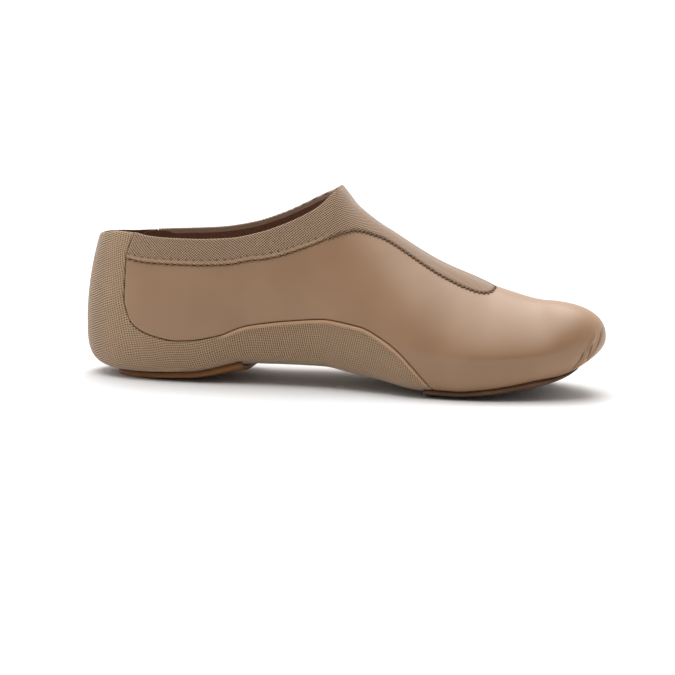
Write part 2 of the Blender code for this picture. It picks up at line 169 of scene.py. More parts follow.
ARCH_EDGE = (
    Edge(HEEL_SEAM, .524),
    Edge(.113, .38),
    Edge(.135, .315),
    Edge(.165, .272),
    Edge(.205, .242),
    Edge(.285, .249),
    Edge(.333, .292),
    Edge(.42, .35),
    Edge(.504, .384),
    Edge(.558, .372),
    Edge(.598, .318),
    Edge(.63, .256),
    Edge(.662, .156),
    Edge(.685, .062),
    Edge(BALL_SEAM, 0),
)


class Curve:
    """Smooth curve through one column of a table, which never overshoots its rows."""

    def __init__(self, table: Sequence[tuple], column: str) -> None:
        """Works out the slopes.

        Args:
            table: rows that start with their place along the shoe.
            column: name of the column.
        """
        self.x = np.array([row.along for row in table])
        self.y = np.array([getattr(row, column) for row in table])
        steps = np.diff(self.y) / np.diff(self.x)
        product = steps[:-1] * steps[1:]
        total = steps[:-1] + steps[1:]
        inner = np.where(product > 0, 2 * product / np.where(total == 0, 1, total), 0.0)
        self.slope = np.concatenate((steps[:1], inner, steps[-1:]))

    def __call__(self, along: Array) -> Array:
        """Values of the curve.

        Args:
            along: places, as shares of the length.

        Returns:
            One value for each place.
        """
        x = np.clip(along, self.x[0], self.x[-1])
        i = np.clip(np.searchsorted(self.x, x) - 1, 0, len(self.x) - 2)
        step = self.x[i + 1] - self.x[i]
        s = (x - self.x[i]) / step
        rise = self.y[i] * (1 + 2 * s) * (1 - s) ** 2 + self.y[i + 1] * s * s * (3 - 2 * s)
        return rise + step * (self.slope[i] * s * (1 - s) ** 2 - self.slope[i + 1] * s * s * (1 - s))


def ease(value: Array | float, start: float, end: float) -> Array:
    """Soft step from 0 at start to 1 at end.

    Args:
        value: where it is read.
        start: where it leaves 0.
        end: where it reaches 1.

    Returns:
        The step's value.
    """
    s = np.clip((np.asarray(value) - start) / (end - start), 0.0, 1.0)
    return s * s * (3 - 2 * s)


def rounding(distance: Array, radius: float) -> Array:
    """How far a rounded edge has dropped, from 0 at its radius to 1 at the edge."""
    return 1 - np.sqrt(1 - np.clip(1 - distance / radius, 0, 1) ** 2)


@dataclass
class Last:
    """The shoe's form, held as a fine lattice of points and outward normals on each side."""

    length: float = 0.240
    ball_width: float = 0.081
    heel_width: float = 0.058
    instep_height: float = 0.0890
    heel_height: float = 0.0645
    toe_height: float = 0.0415
    arch_rise: float = 0.0065
    toe_spring: float = 0.0050
    sole_thick: float = 0.0016
    heel_thick: float = 0.0024
    wear: float = 0.0002
    gap: float = 0.0003
    collar_band: float = 0.0117
    middle_y: float = 0.0004
    heel_fan: float = 0.20
    toe_fan: float = 0.80
    heel_round: float = 0.22
    toe_round: float = 0.24
    round_power: float = 2.3
    keel_share: float = 0.62
    gore_power: float = 2.7
    seam_lean: float = 0.009
    lean_reach: float = 0.04
    lean_heights: tuple[float, float] = (0.056, 0.067)
    rib_steps: int = 160
    turn_steps: int = 1200
    share_steps: int = 400

    def __post_init__(self) -> None:
        """Builds the lattice."""
        self.turns = np.linspace(0.0, 1.0, self.turn_steps + 1)
        self.shares = np.linspace(0.0, 1.0, self.share_steps + 1)
        self.points, self.heights, self.girths, self.edges, self.runs = {}, {}, {}, {}, {}
        self.columns = {name: Curve(SECTIONS, name) for name in Section._fields[1:]}
        self.rims = {Side.INNER: Curve(TOPLINE, "inner"), Side.OUTER: Curve(TOPLINE, "outer")}
        self.gore = Curve(GORE_SEAM, "share")
        self.arch_edge = Curve(ARCH_EDGE, "height")
        for side in Side:
            self._make_side(side)
        self.normals = {side: self._make_normals(side) for side in Side}
        self.skins = np.stack([self.points[side] for side in Side])
        self.outs = np.stack([self.normals[side] for side in Side])

    def along_at(self, turn: Array) -> Array:
        """Share of the length at a turn: even along the sides, and by angle round heel and toe."""
        quarter = math.pi / 2
        heel = self.heel_fan * (1 - np.sin(np.clip(1 - turn / self.heel_fan, 0, 1) * quarter))
        far = np.clip((turn - self.toe_fan) / (1 - self.toe_fan), 0, 1)
        toe = self.toe_fan + (1 - self.toe_fan) * np.sin(far * quarter)
        return np.where(turn < self.heel_fan, heel, np.where(turn > self.toe_fan, toe, turn))

    def turn_at(self, along: float) -> float:
        """Turn of the rib that reaches a share of the length."""
        if along < self.heel_fan:
            return self.heel_fan * (1 - math.asin(1 - along / self.heel_fan) / (math.pi / 2))
        if along > self.toe_fan:
            far = (along - self.toe_fan) / (1 - self.toe_fan)
            return self.toe_fan + (1 - self.toe_fan) * math.asin(far) / (math.pi / 2)
        return along

    def _foot_of(self, along: Array) -> Array:
        """Where on the middle line a rib stands."""
        heel = np.clip((self.heel_fan - along) / self.heel_fan, 0, 1)
        toe = np.clip((along - self.toe_fan) / (1 - self.toe_fan), 0, 1)
        back = self.heel_fan * (1 - heel + heel * heel / 2)
        front = self.toe_fan + (1 - self.toe_fan) * (toe - toe * toe / 2)
        return np.where(along < self.heel_fan, back, np.where(along > self.toe_fan, front, along))

    def _half_width(self, side: int, along: Array) -> Array:
        """Half width of the form on one side of the middle line."""
        seat = self.columns["seat"](along)
        width = seat * self.heel_width + (1 - seat) * self.ball_width
        share = self.columns["inner" if side < 0 else "outer"](along)
        heel = (self.heel_round - along) / self.heel_round
        toe = (along - 1 + self.toe_round) / self.toe_round
        far = np.clip(np.maximum(heel, toe), 0, 1)
        return width * share * (1 - far ** self.round_power) ** (1 / self.round_power)

    def _under_height(self, along: Array) -> Array:
        """Height of the form's underside on the middle line."""
        seat = self.columns["seat"](along)
        layer = seat * self.heel_thick + (1 - seat) * self.sole_thick + self.gap - self.wear
        arch, spring = self.columns["arch"](along), self.columns["spring"](along)
        return layer + arch * self.arch_rise + spring * self.toe_spring

    def _ridge_height(self, along: Array) -> Array:
        """Height of the form's ridge."""
        heel = self.columns["heel"](along) * self.heel_height
        instep = self.columns["instep"](along) * self.instep_height
        return heel + instep + self.columns["toe"](along) * self.toe_height

    def _rise(self, height: Callable[[Array], Array], along: Array) -> Array:
        """Slope of a height along the shoe."""
        step = 0.002
        return (height(along + step) - height(along - step)) / (2 * step * self.length)

    def _make_side(self, side: int) -> None:
        """Fills the lattice of one side with points."""
        along = self.along_at(self.turns)
        foot = self._foot_of(along)
        spine = self.columns["spine"]
        pivot = np.stack((foot * self.length, spine(foot) * self.ball_width, 0 * foot), 1)
        rim_y = spine(along) * self.ball_width + side * self._half_width(side, along)
        rim = np.stack((along * self.length, rim_y, 0 * along), 1)
        width = np.linalg.norm(rim - pivot, axis=1)
        spoke = (rim - pivot) / width[:, None]
        bottom, top = self._under_height(foot), self._ridge_height(foot)
        name = "inner" if side < 0 else "outer"
        middle = bottom + self.columns[name + "_belly"](along) * (top - bottom)
        self.rise_low = self._rise(self._under_height, foot)
        self.rise_high = self._rise(self._ridge_height, foot)
        angle = np.linspace(0.0, math.pi / 2, self.rib_steps + 1)[None, :]
        low = (2 / self.columns["low"](along))[:, None]
        high = (2 / self.columns[name + "_high"](along))[:, None]
        out = width[:, None] * np.sin(angle) ** low
        down = np.clip(np.cos(angle), 0, 1) ** low
        lean = (self.rise_low * spoke[:, 0])[:, None]
        under = middle[:, None] - down * (middle - bottom)[:, None] + down * out * lean
        crown = (2 / self.columns[name + "_crown"](along))[:, None]
        in_ = width[:, None] * np.clip(np.cos(angle), 0, 1) ** crown
        up = np.sin(angle) ** high
        lean = (self.rise_high * spoke[:, 0])[:, None]
        over = middle[:, None] + up * (top - middle)[:, None] + up * in_ * lean
        reach = np.concatenate((out, in_[:, 1:]), 1)
        height = np.concatenate((under, over[:, 1:]), 1)
        steps = np.hypot(np.diff(reach, axis=1), np.diff(height, axis=1))
        run = np.concatenate((np.zeros((len(steps), 1)), np.cumsum(steps, 1)), 1)
        girth = run[:, -1]
        share = run / girth[:, None]
        even_reach = np.array([np.interp(self.shares, s, r) for s, r in zip(share, reach)])
        even_height = np.array([np.interp(self.shares, s, h) for s, h in zip(share, height)])
        points = pivot[:, None, :] + spoke[:, None, :] * even_reach[:, :, None]
        points[:, :, 2] = even_height
        points[:, :, 0] -= self.length / 2
        points[:, :, 1] -= self.middle_y
        half = self.rib_steps + 1
        wanted = self.columns["edge"](along) * width
        self.edges[side] = np.array([
            np.interp(w, r[:half], s[:half]) for w, r, s in zip(wanted, reach, share)
        ])
        self.points[side] = points
        self.heights[side] = np.maximum.accumulate(even_height, 1)
        self.girths[side] = girth
        wall = points[:, int(0.42 * self.share_steps), :]
        lengths = np.linalg.norm(np.diff(wall, axis=0), axis=1)
        self.runs[side] = np.concatenate(([0.0], np.cumsum(lengths)))

    def _make_normals(self, side: int) -> Array:
        """Outward normals of one side's lattice."""
        here, other = self.points[side], self.points[-side]
        wide = np.concatenate((other[1:2], here, other[-2:-1]), 0)
        ahead = wide[2:] - wide[:-2]
        climb = np.gradient(here, axis=1)
        normal = np.cross(ahead, climb) * -side
        size = np.linalg.norm(normal, axis=2, keepdims=True)
        normal = normal / np.maximum(size, 1e-12)
        top = np.stack((-self.rise_high, 0 * self.rise_high, 0 * self.rise_high + 1), 1)
        low = np.stack((self.rise_low, 0 * self.rise_low, 0 * self.rise_low - 1), 1)
        top /= np.linalg.norm(top, axis=1, keepdims=True)
        low /= np.linalg.norm(low, axis=1, keepdims=True)
        for share, fixed, start in ((self.shares, top, 0.985), (1 - self.shares, low, 0.985)):
            blend = ease(share, start, 0.999)[None, :, None]
            normal = normal * (1 - blend) + fixed[:, None, :] * blend
        return normal / np.linalg.norm(normal, axis=2, keepdims=True)

    def own(self, line: SideLine, side: Array, turn: Array) -> Array:
        """Reads a line for points of both sides, each on its own side."""
        return np.where(side < 0, line(Side.INNER, turn), line(Side.OUTER, turn))

    def _read(self, lattices: Array, side: Array, turn: Array, share: Array) -> Array:
        """Bilinear look-up in the lattice of each point's own side."""
        x = np.clip(turn, 0, 1) * self.turn_steps
        y = np.clip(share, 0, 1) * self.share_steps
        k = (np.broadcast_to(side, turn.shape) > 0).astype(int)
        i = np.minimum(x.astype(int), self.turn_steps - 1)
        j = np.minimum(y.astype(int), self.share_steps - 1)
        s, t = (x - i)[:, None], (y - j)[:, None]
        near = lattices[k, i, j] * (1 - t) + lattices[k, i, j + 1] * t
        far = lattices[k, i + 1, j] * (1 - t) + lattices[k, i + 1, j + 1] * t
        return near * (1 - s) + far * s

    def skin(self, side: Array, turn: Array, share: Array, lift: Array | float = 0.0) -> Array:
        """Points at a distance outside the form.

        Args:
            side: -1 for the inner side, 1 for the outer.
            turn: place along the shoe.
            share: place round the rib, from underside to ridge.
            lift: distance outside the form.

        Returns:
            One point for each place.
        """
        height = self._read(self.skins, side, turn, share)[:, 2]
        near = np.exp(-((turn - self.turn_at(HEEL_SEAM)) / self.lean_reach) ** 2)
        turn = turn + self.seam_lean * near * ease(height, *self.lean_heights)
        point, normal = self._read(self.skins, side, turn, share), self.normal(side, turn, share)
        return point + normal * np.broadcast_to(lift, turn.shape)[:, None]

    def normal(self, side: Array, turn: Array, share: Array) -> Array:
        """Outward normals."""
        normal = self._read(self.outs, side, turn, share)
        return normal / np.maximum(np.linalg.norm(normal, axis=1, keepdims=True), 1e-9)

    def girth(self, side: int, turn: Array) -> Array:
        """Length of a rib from underside to ridge."""
        return np.interp(turn, self.turns, self.girths[side])

    def run(self, side: int, turn: Array) -> Array:
        """Distance from the heel's middle, along the side wall."""
        return np.interp(turn, self.turns, self.runs[side])

    def share_at_height(self, side: int, turn: Array, height: Array) -> Array:
        """Share of each rib at a height."""
        x = np.clip(turn, 0, 1) * self.turn_steps
        i = np.minimum(x.astype(int), self.turn_steps - 1)
        s = (x - i)[:, None]
        heights = self.heights[side][i] * (1 - s) + self.heights[side][i + 1] * s
        return np.array([np.interp(h, row, self.shares) for h, row in zip(height, heights)])

    def edge_line(self, side: int, turn: Array) -> Array:
        """The sole's edge."""
        return np.interp(turn, self.turns, self.edges[side])

    def keel_line(self, side: int, turn: Array) -> Array:
        """Where the upper's underside ends, inside the sole's edge."""
        return self.keel_share * self.edge_line(side, turn)

    def middle_line(self, side: int, turn: Array) -> Array:
        """The middle of the underside."""
        return np.zeros_like(turn)

    def top_line(self, side: int, turn: Array) -> Array:
        """The topline, and forward of the collar the ridge."""
        along = self.along_at(turn)
        ridge = np.interp(turn, self.turns, self.heights[side][:, -1])
        height = self.heel_height + self.rims[side](along) * (ridge - self.heel_height)
        share = self.share_at_height(side, turn, height)
        return np.where(along >= COLLAR_FRONT, 1.0, share)

    def arch_height(self, side: int, turn: Array) -> Array:
        """Height of the leather's lower edge over the knit."""
        edge = self.edge_line(side, turn)
        sole = self.skin(side, turn, edge)[:, 2]
        return sole + self.arch_edge(self.along_at(turn)) * (self.heel_height - sole)

    def arch_line(self, side: int, turn: Array, clear: float = 0.0) -> Array:
        """The leather's lower edge over the knit, moved up square to itself."""
        share = self.share_at_height(side, turn, self.arch_height(side, turn))
        step = 0.001
        climb = self.arch_height(side, turn + step) - self.arch_height(side, turn - step)
        run = (self.along_at(turn + step) - self.along_at(turn - step)) * self.length
        share = share + clear * np.hypot(1, climb / run) / self.girth(side, turn)
        return np.maximum(share, self.edge_line(side, turn))

    def gore_line(self, side: int, turn: Array, clear: float = 0.0) -> Array:
        """Seam under the collar and round the gore, moved away from the collar."""
        along = self.along_at(turn)
        girth = self.girth(side, turn)
        end = GORE_END + clear / self.length
        band = self.top_line(side, turn) - self.collar_band / girth
        share = band + (self.gore(along) - band) * ease(along, GORE_SEAM[0].along, GORE_SEAM[1].along)
        far = np.clip((along - GORE_TIP) / (end - GORE_TIP), 0, 1)
        share = 1 - (1 - share) * (1 - far ** self.gore_power) ** (1 / self.gore_power)
        return np.where(along >= end, 1.0, share - clear / girth * (along < GORE_TIP))


def linear(hex_colour: str) -> tuple[float, float, float, float]:
    """Turns an sRGB hex colour to linear values.

    Args:
        hex_colour: such as "#8d6f57".

    Returns:
        Red, green, blue and an alpha of 1.
    """
    values = [int(hex_colour[i:i + 2], 16) / 255 for i in (1, 3, 5)]
    made = [v / 12.92 if v <= 0.04045 else ((v + 0.055) / 1.055) ** 2.4 for v in values]
    return (made[0], made[1], made[2], 1.0)


def add_node(tree: Tree, kind: str, inputs: dict | None = None, output: int = 0,
             **settings: object) -> Socket:
    """Adds a shader node with its settings and links.

    Args:
        tree: where it goes.
        kind: Blender's name for the node, after "ShaderNode".
        inputs: by socket name or number, a value or the output socket that feeds it.
        output: number of the output socket.
        settings: properties of the node.

    Returns:
        The output socket.
    """
    node = tree.nodes.new("ShaderNode" + kind)
    for name, value in settings.items():
        setattr(node, name, value)
    for name, value in (inputs or {}).items():
        if isinstance(value, Socket):
            tree.links.new(value, node.inputs[name])
        else:
            node.inputs[name].default_value = value
    return node.outputs[output]


def wave(tree: Tree, distance: Socket, pitch: float) -> Socket:
    """Even ridges across a distance.

    Args:
        tree: where the nodes go.
        distance: socket that gives the distance.
        pitch: from ridge to ridge.

    Returns:
        Socket that goes from 0 in the grooves to 1 on the ridges.
    """
    turned = add_node(tree, "Math", {0: distance, 1: 2 * math.pi / pitch}, operation="MULTIPLY")
    sine = add_node(tree, "Math", {0: turned}, operation="SINE")
    return add_node(tree, "Math", {0: sine, 1: 0.5, 2: 0.5}, operation="MULTIPLY_ADD")


class Finish:
    """What every finish shares: its material, its shader and the sockets that feed them."""

    name: str

    def start(self, **sockets: float | tuple) -> tuple[Material, Tree, Socket]:
        """Makes the material and sets the shader's own sockets.

        Args:
            sockets: values by socket name, with _ for a space.

        Returns:
            The material, its node tree and its object coordinates.
        """
        made = bpy.data.materials.new(self.name)
        made.use_nodes = True
        shader = made.node_tree.nodes["Principled BSDF"]
        for socket, value in sockets.items():
            shader.inputs[socket.replace("_", " ")].default_value = value
        return made, made.node_tree, add_node(made.node_tree, "TexCoord", output=3)

    def cover(self, made: Material, share: Socket, tones: tuple[str, str], height: Socket, depth: float,
              strength: float, trim_and_shade: str = "") -> Material:
        """Colours the shader between two tones and gives it a relief.

        Args:
            made: the material.
            share: socket that goes from 0 at the first tone to 1 at the second.
            tones: the two hex colours.
            height: socket of the relief.
            depth: the relief's real depth.
            strength: share of the relief that shows.
            trim_and_shade: hex colour where the piece's mark is 1, or empty; on the leather the mark is
                painted shade in the toe pleats' troughs, on knit and elastic it marks their plain trims.

        Returns:
            The material.
        """
        tree = made.node_tree
        low, high = linear(tones[0]), linear(tones[1])
        colour = add_node(tree, "Mix", {0: share, 6: low, 7: high}, 2, data_type="RGBA")
        if trim_and_shade:
            # painted shade on the leather (its pleat troughs), plain trim on knit and elastic: the mark's
            # colour
            mask = add_node(tree, "Attribute", output=2, attribute_name="trim_and_shade")
            colour = add_node(tree, "Mix", {0: mask, 6: colour, 7: linear(trim_and_shade)}, 2, data_type="RGBA")
        bump = add_node(tree, "Bump", {"Strength": strength, "Distance": depth, "Height": height})
        tree.links.new(colour, tree.nodes["Principled BSDF"].inputs["Base Color"])
        tree.links.new(bump, tree.nodes["Principled BSDF"].inputs["Normal"])
        return made


class SheetFinish(Finish):
    """What knit and elastic share: a pattern on the sheet's own map, quiet where the piece is trimmed, its
    grooves darkened partly with painted shade.
    """

    ridge: str
    # groove colour: partly the cloth's own, partly painted shade in its hollows
    groove_shade: str
    lip: str

    def read_map(self, tree: Tree, where: Socket, patch: float, stray: float,
                 detail: float) -> tuple[Socket, ...]:
        """Reads the sheet's own map and lets the pattern wander a little.

        Args:
            tree: where the nodes go.
            where: object coordinates.
            patch: distance over which the pattern wanders.
            stray: how far it wanders in all.
            detail: steps of finer wandering.

        Returns:
            The run along the side, the climb from the sole's edge and the wandering.
        """
        sheet = add_node(tree, "UVMap", uv_map="sheet")
        run, climb = (add_node(tree, "SeparateXYZ", {0: sheet}, axis) for axis in (0, 1))
        sway = add_node(tree, "TexNoise", {"Vector": where, "Scale": 1 / patch, "Detail": detail})
        sway = add_node(tree, "Math", {0: sway, 1: stray, 2: -stray / 2}, operation="MULTIPLY_ADD")
        return run, climb, sway

    def weave(self, made: Material, cloth: Socket, span: tuple[float, float], hush: float, depth: float,
              strength: float) -> Material:
        """Colours the pattern from the dark groove colour, partly painted shade in the hollows, to the ridge
        colour, and gives it its relief.

        Args:
            made: the material.
            cloth: socket of the pattern, low in the grooves.
            span: where the colour starts and ends between groove and ridge.
            hush: how much of the relief the trimmed parts lose.
            depth: the relief's real depth.
            strength: share of the relief that shows.

        Returns:
            The material.
        """
        tree = made.node_tree
        light = add_node(tree, "MapRange", {0: cloth, 1: span[0], 2: span[1]},
                         interpolation_type="SMOOTHSTEP")
        trim_and_shade = add_node(tree, "Attribute", output=2, attribute_name="trim_and_shade")
        quiet = add_node(tree, "Math", {0: trim_and_shade, 1: -hush, 2: 1.0}, operation="MULTIPLY_ADD")
        height = add_node(tree, "Math", {0: cloth, 1: quiet}, operation="MULTIPLY")
        return self.cover(made, light, (self.groove_shade, self.ridge), height, depth, strength, self.lip)


@dataclass(frozen=True)
class SatinLeather(Finish):
    """Full-grain kid leather, drum dyed and lightly plated.

    It gives a soft satin skin with a fine grain and faint clouds in its colour, and painted shade in the toe
    pleats' troughs.
    """

    name: str = "kid_leather_satin"
    colour: str = "#9d7958"
    cloud: str = "#977353"
    # painted shade: colour laid in the toe pleats' troughs
    painted_crease_shade: str = "#5d412d"
    grain: float = 0.9 * MM

    def build(self) -> Material:
        """Makes the material."""
        made, tree, where = self.start(Roughness=0.5, IOR=1.5, Specular_IOR_Level=0.65, Coat_Weight=0.1,
                                       Coat_Roughness=0.4)
        clouds = add_node(tree, "TexNoise", {"Vector": where, "Scale": 1 / (28 * MM), "Detail": 2.0})
        clouds = add_node(tree, "MapRange", {0: clouds, 1: 0.35, 2: 0.65}, interpolation_type="SMOOTHSTEP")
        grain = add_node(tree, "TexVoronoi", {"Vector": where, "Scale": 1 / self.grain, "Smoothness": 0.6},
                         feature="SMOOTH_F1")
        fine = add_node(tree, "TexNoise", {"Vector": where, "Scale": 2 / self.grain, "Detail": 3.0})
        height = add_node(tree, "Math", {0: grain, 1: fine}, operation="ADD")
        return self.cover(made, clouds, (self.colour, self.cloud), height, 0.02 * MM, 0.35, self.painted_crease_shade)


@dataclass(frozen=True)
class StretchKnit(SheetFinish):
    """Polyester and spandex rib knit.

    Round the heel it gives level ribs, at the side a mesh of small dark dots, and along the arch fine upright
    ribs. Its folded edge is plain and paler. The grooves' dark colour is partly the knit's own and partly
    painted shade in its hollows.
    """

    name: str = "stretch_rib_knit"
    ridge: str = "#b19273"
    # painted shade in the knit's hollows, partly its own dark dots: the groove colour
    groove_shade: str = "#2f1e12"
    lip: str = "#bf9773"
    rib: float = 1.07 * MM
    wale: float = 1.30 * MM
    fine: float = 1.00 * MM
    slope: float = 0.17
    side_zone: tuple[float, float] = (19 * MM, 30 * MM)
    low_zone: tuple[float, float] = (40 * MM, 55 * MM)
    arch_zone: tuple[float, float] = (62 * MM, 100 * MM)

    def build(self) -> Material:
        """Makes the material."""
        made, tree, where = self.start(Roughness=0.85, IOR=1.45, Sheen_Weight=0.25, Sheen_Roughness=0.5)
        run, climb, sway = self.read_map(tree, where, 9 * MM, 1.4 * MM, 1.0)
        side, low, arch = (
            add_node(tree, "MapRange", {0: run, 1: start, 2: end}, interpolation_type="SMOOTHSTEP")
            for start, end in (self.side_zone, self.low_zone, self.arch_zone)
        )
        near = add_node(tree, "Math", {0: run, 1: 38 * MM}, operation="MINIMUM")
        level = add_node(tree, "Math", {0: near, 1: -self.slope, 2: climb}, operation="MULTIPLY_ADD")
        level = add_node(tree, "Math", {0: level, 1: sway}, operation="ADD")
        upright = add_node(tree, "Math", {0: climb, 1: 0.22, 2: run}, operation="MULTIPLY_ADD")
        upright = add_node(tree, "Math", {0: upright, 1: sway}, operation="ADD")
        ribs = wave(tree, level, self.rib)
        wales, fine = wave(tree, upright, self.wale), wave(tree, upright, self.fine)
        wales = add_node(tree, "Mix", {0: low, 2: wales, 3: fine}, data_type="FLOAT")
        share = add_node(tree, "Math", {0: side, 1: 0.42, 2: 0.04}, operation="MULTIPLY_ADD")
        share = add_node(tree, "Math", {0: arch, 1: 0.24, 2: share}, operation="MULTIPLY_ADD")
        knit = add_node(tree, "Mix", {0: share, 2: ribs, 3: wales}, data_type="FLOAT")
        fuzz = add_node(tree, "TexNoise", {"Vector": where, "Scale": 1 / (0.5 * MM), "Detail": 2.0})
        knit = add_node(tree, "Math", {0: fuzz, 1: 0.25, 2: knit}, operation="MULTIPLY_ADD")
        return self.weave(made, knit, (0.12, 0.72), 0.8, 0.25 * MM, 0.8)


@dataclass(frozen=True)
class TwillElastic(SheetFinish):
    """Woven elastic with a twill face.

    It gives fine ribs that slant both ways and cross, with a soft cloth sheen. They are drawn slightly
    coarser than the cloth's own 0.8 mm, so that they show. Their grooves are coloured dark as painted shade.
    """

    name: str = "twill_elastic"
    ridge: str = "#b69679"
    # painted shade in the twill's grooves: the groove colour
    groove_shade: str = "#35241a"
    lip: str = "#b09070"
    pitch: float = 0.88 * MM
    slant: float = 42.0
    crossed: float = 0.44

    def build(self) -> Material:
        """Makes the material."""
        made, tree, where = self.start(Roughness=0.78, IOR=1.45, Sheen_Weight=0.35, Sheen_Roughness=0.4)
        run, climb, sway = self.read_map(tree, where, 12 * MM, 0.8 * MM, 2.0)
        run = add_node(tree, "Math", {0: run, 1: sway}, operation="ADD")
        sine, cosine = math.sin(math.radians(self.slant)), math.cos(math.radians(self.slant))
        across = add_node(tree, "Math", {0: run, 1: sine}, operation="MULTIPLY")
        rising = add_node(tree, "Math", {0: climb, 1: -cosine, 2: across}, operation="MULTIPLY_ADD")
        falling = add_node(tree, "Math", {0: climb, 1: cosine, 2: across}, operation="MULTIPLY_ADD")
        strong, faint = wave(tree, rising, self.pitch), wave(tree, falling, self.pitch)
        cloth = add_node(tree, "Mix", {0: self.crossed, 2: strong, 3: faint}, data_type="FLOAT")
        return self.weave(made, cloth, (0.2, 0.7), 0.7, 0.15 * MM, 0.6)


@dataclass(frozen=True)
class ClothSurface(Finish):
    """Soft cloth with a short nap, which gives a matt colour with hardly any gloss."""

    name: str
    colour: str
    worn: str
    nap: float = 0.8 * MM

    def build(self) -> Material:
        """Makes the material."""
        made, tree, where = self.start(Roughness=0.9, IOR=1.45, Sheen_Weight=0.3, Sheen_Roughness=0.6)
        nap = add_node(tree, "TexNoise", {"Vector": where, "Scale": 1 / self.nap, "Detail": 4.0})
        worn = add_node(tree, "MapRange", {0: nap, 1: 0.3, 2: 0.7}, interpolation_type="SMOOTHSTEP")
        return self.cover(made, worn, (self.colour, self.worn), nap, 0.1 * MM, 0.5)


@dataclass(frozen=True)
class SheetRubber(Finish):
    """Sheet rubber, cut and buffed at its edge, which gives a dull surface with fine scratches."""

    name: str
    colour: str
    scuff: str
    grit: float = 0.6 * MM

    def build(self) -> Material:
        """Makes the material."""
        made, tree, where = self.start(Roughness=0.68, IOR=1.5)
        grit = add_node(tree, "TexNoise", {"Vector": where, "Scale": 1 / self.grit, "Detail": 3.0})
        wear = add_node(tree, "TexNoise", {"Vector": where, "Scale": 1 / (14 * MM), "Detail": 3.0})
        wear = add_node(tree, "MapRange", {0: wear, 1: 0.4, 2: 0.75}, interpolation_type="SMOOTHSTEP")
        return self.cover(made, wear, (self.colour, self.scuff), grit, 0.06 * MM, 0.5)


@dataclass(frozen=True)
class SewingThread(Finish):
    """Twisted polyester thread, which gives small dark stitches with a slight shine."""

    name: str = "polyester_thread"
    colour: str = "#432d1e"
    light: str = "#8f6f52"
    twist: float = 0.4 * MM

    def build(self) -> Material:
        """Makes the material."""
        made, tree, where = self.start(Roughness=0.6, IOR=1.5)
        fibres = add_node(tree, "TexNoise", {"Vector": where, "Scale": 1 / self.twist, "Detail": 2.0})
        return self.cover(made, fibres, (self.colour, self.light), fibres, 0.05 * MM, 0.4)


@dataclass(frozen=True)
class PaperSweep(Finish):
    """Seamless white studio paper, which gives a plain matt floor."""

    name: str = "studio_paper"
    colour: str = "#e6e6e6"
    light: str = "#e8e8e8"

    def build(self) -> Material:
        """Makes the material."""
        made, tree, where = self.start(Roughness=0.9)
        clouds = add_node(tree, "TexNoise", {"Vector": where, "Scale": 1 / (300 * MM), "Detail": 2.0})
        return self.cover(made, clouds, (self.colour, self.light), clouds, 0.01 * MM, 0.1)


class Fold(NamedTuple):
    """A soft ridge (height above 0) or trough along a line on the form, and how dark the painted shade lies
    in it.
    """

    path: list
    width: float
    height: float
    fade: float
    painted_shade: float = 0.0


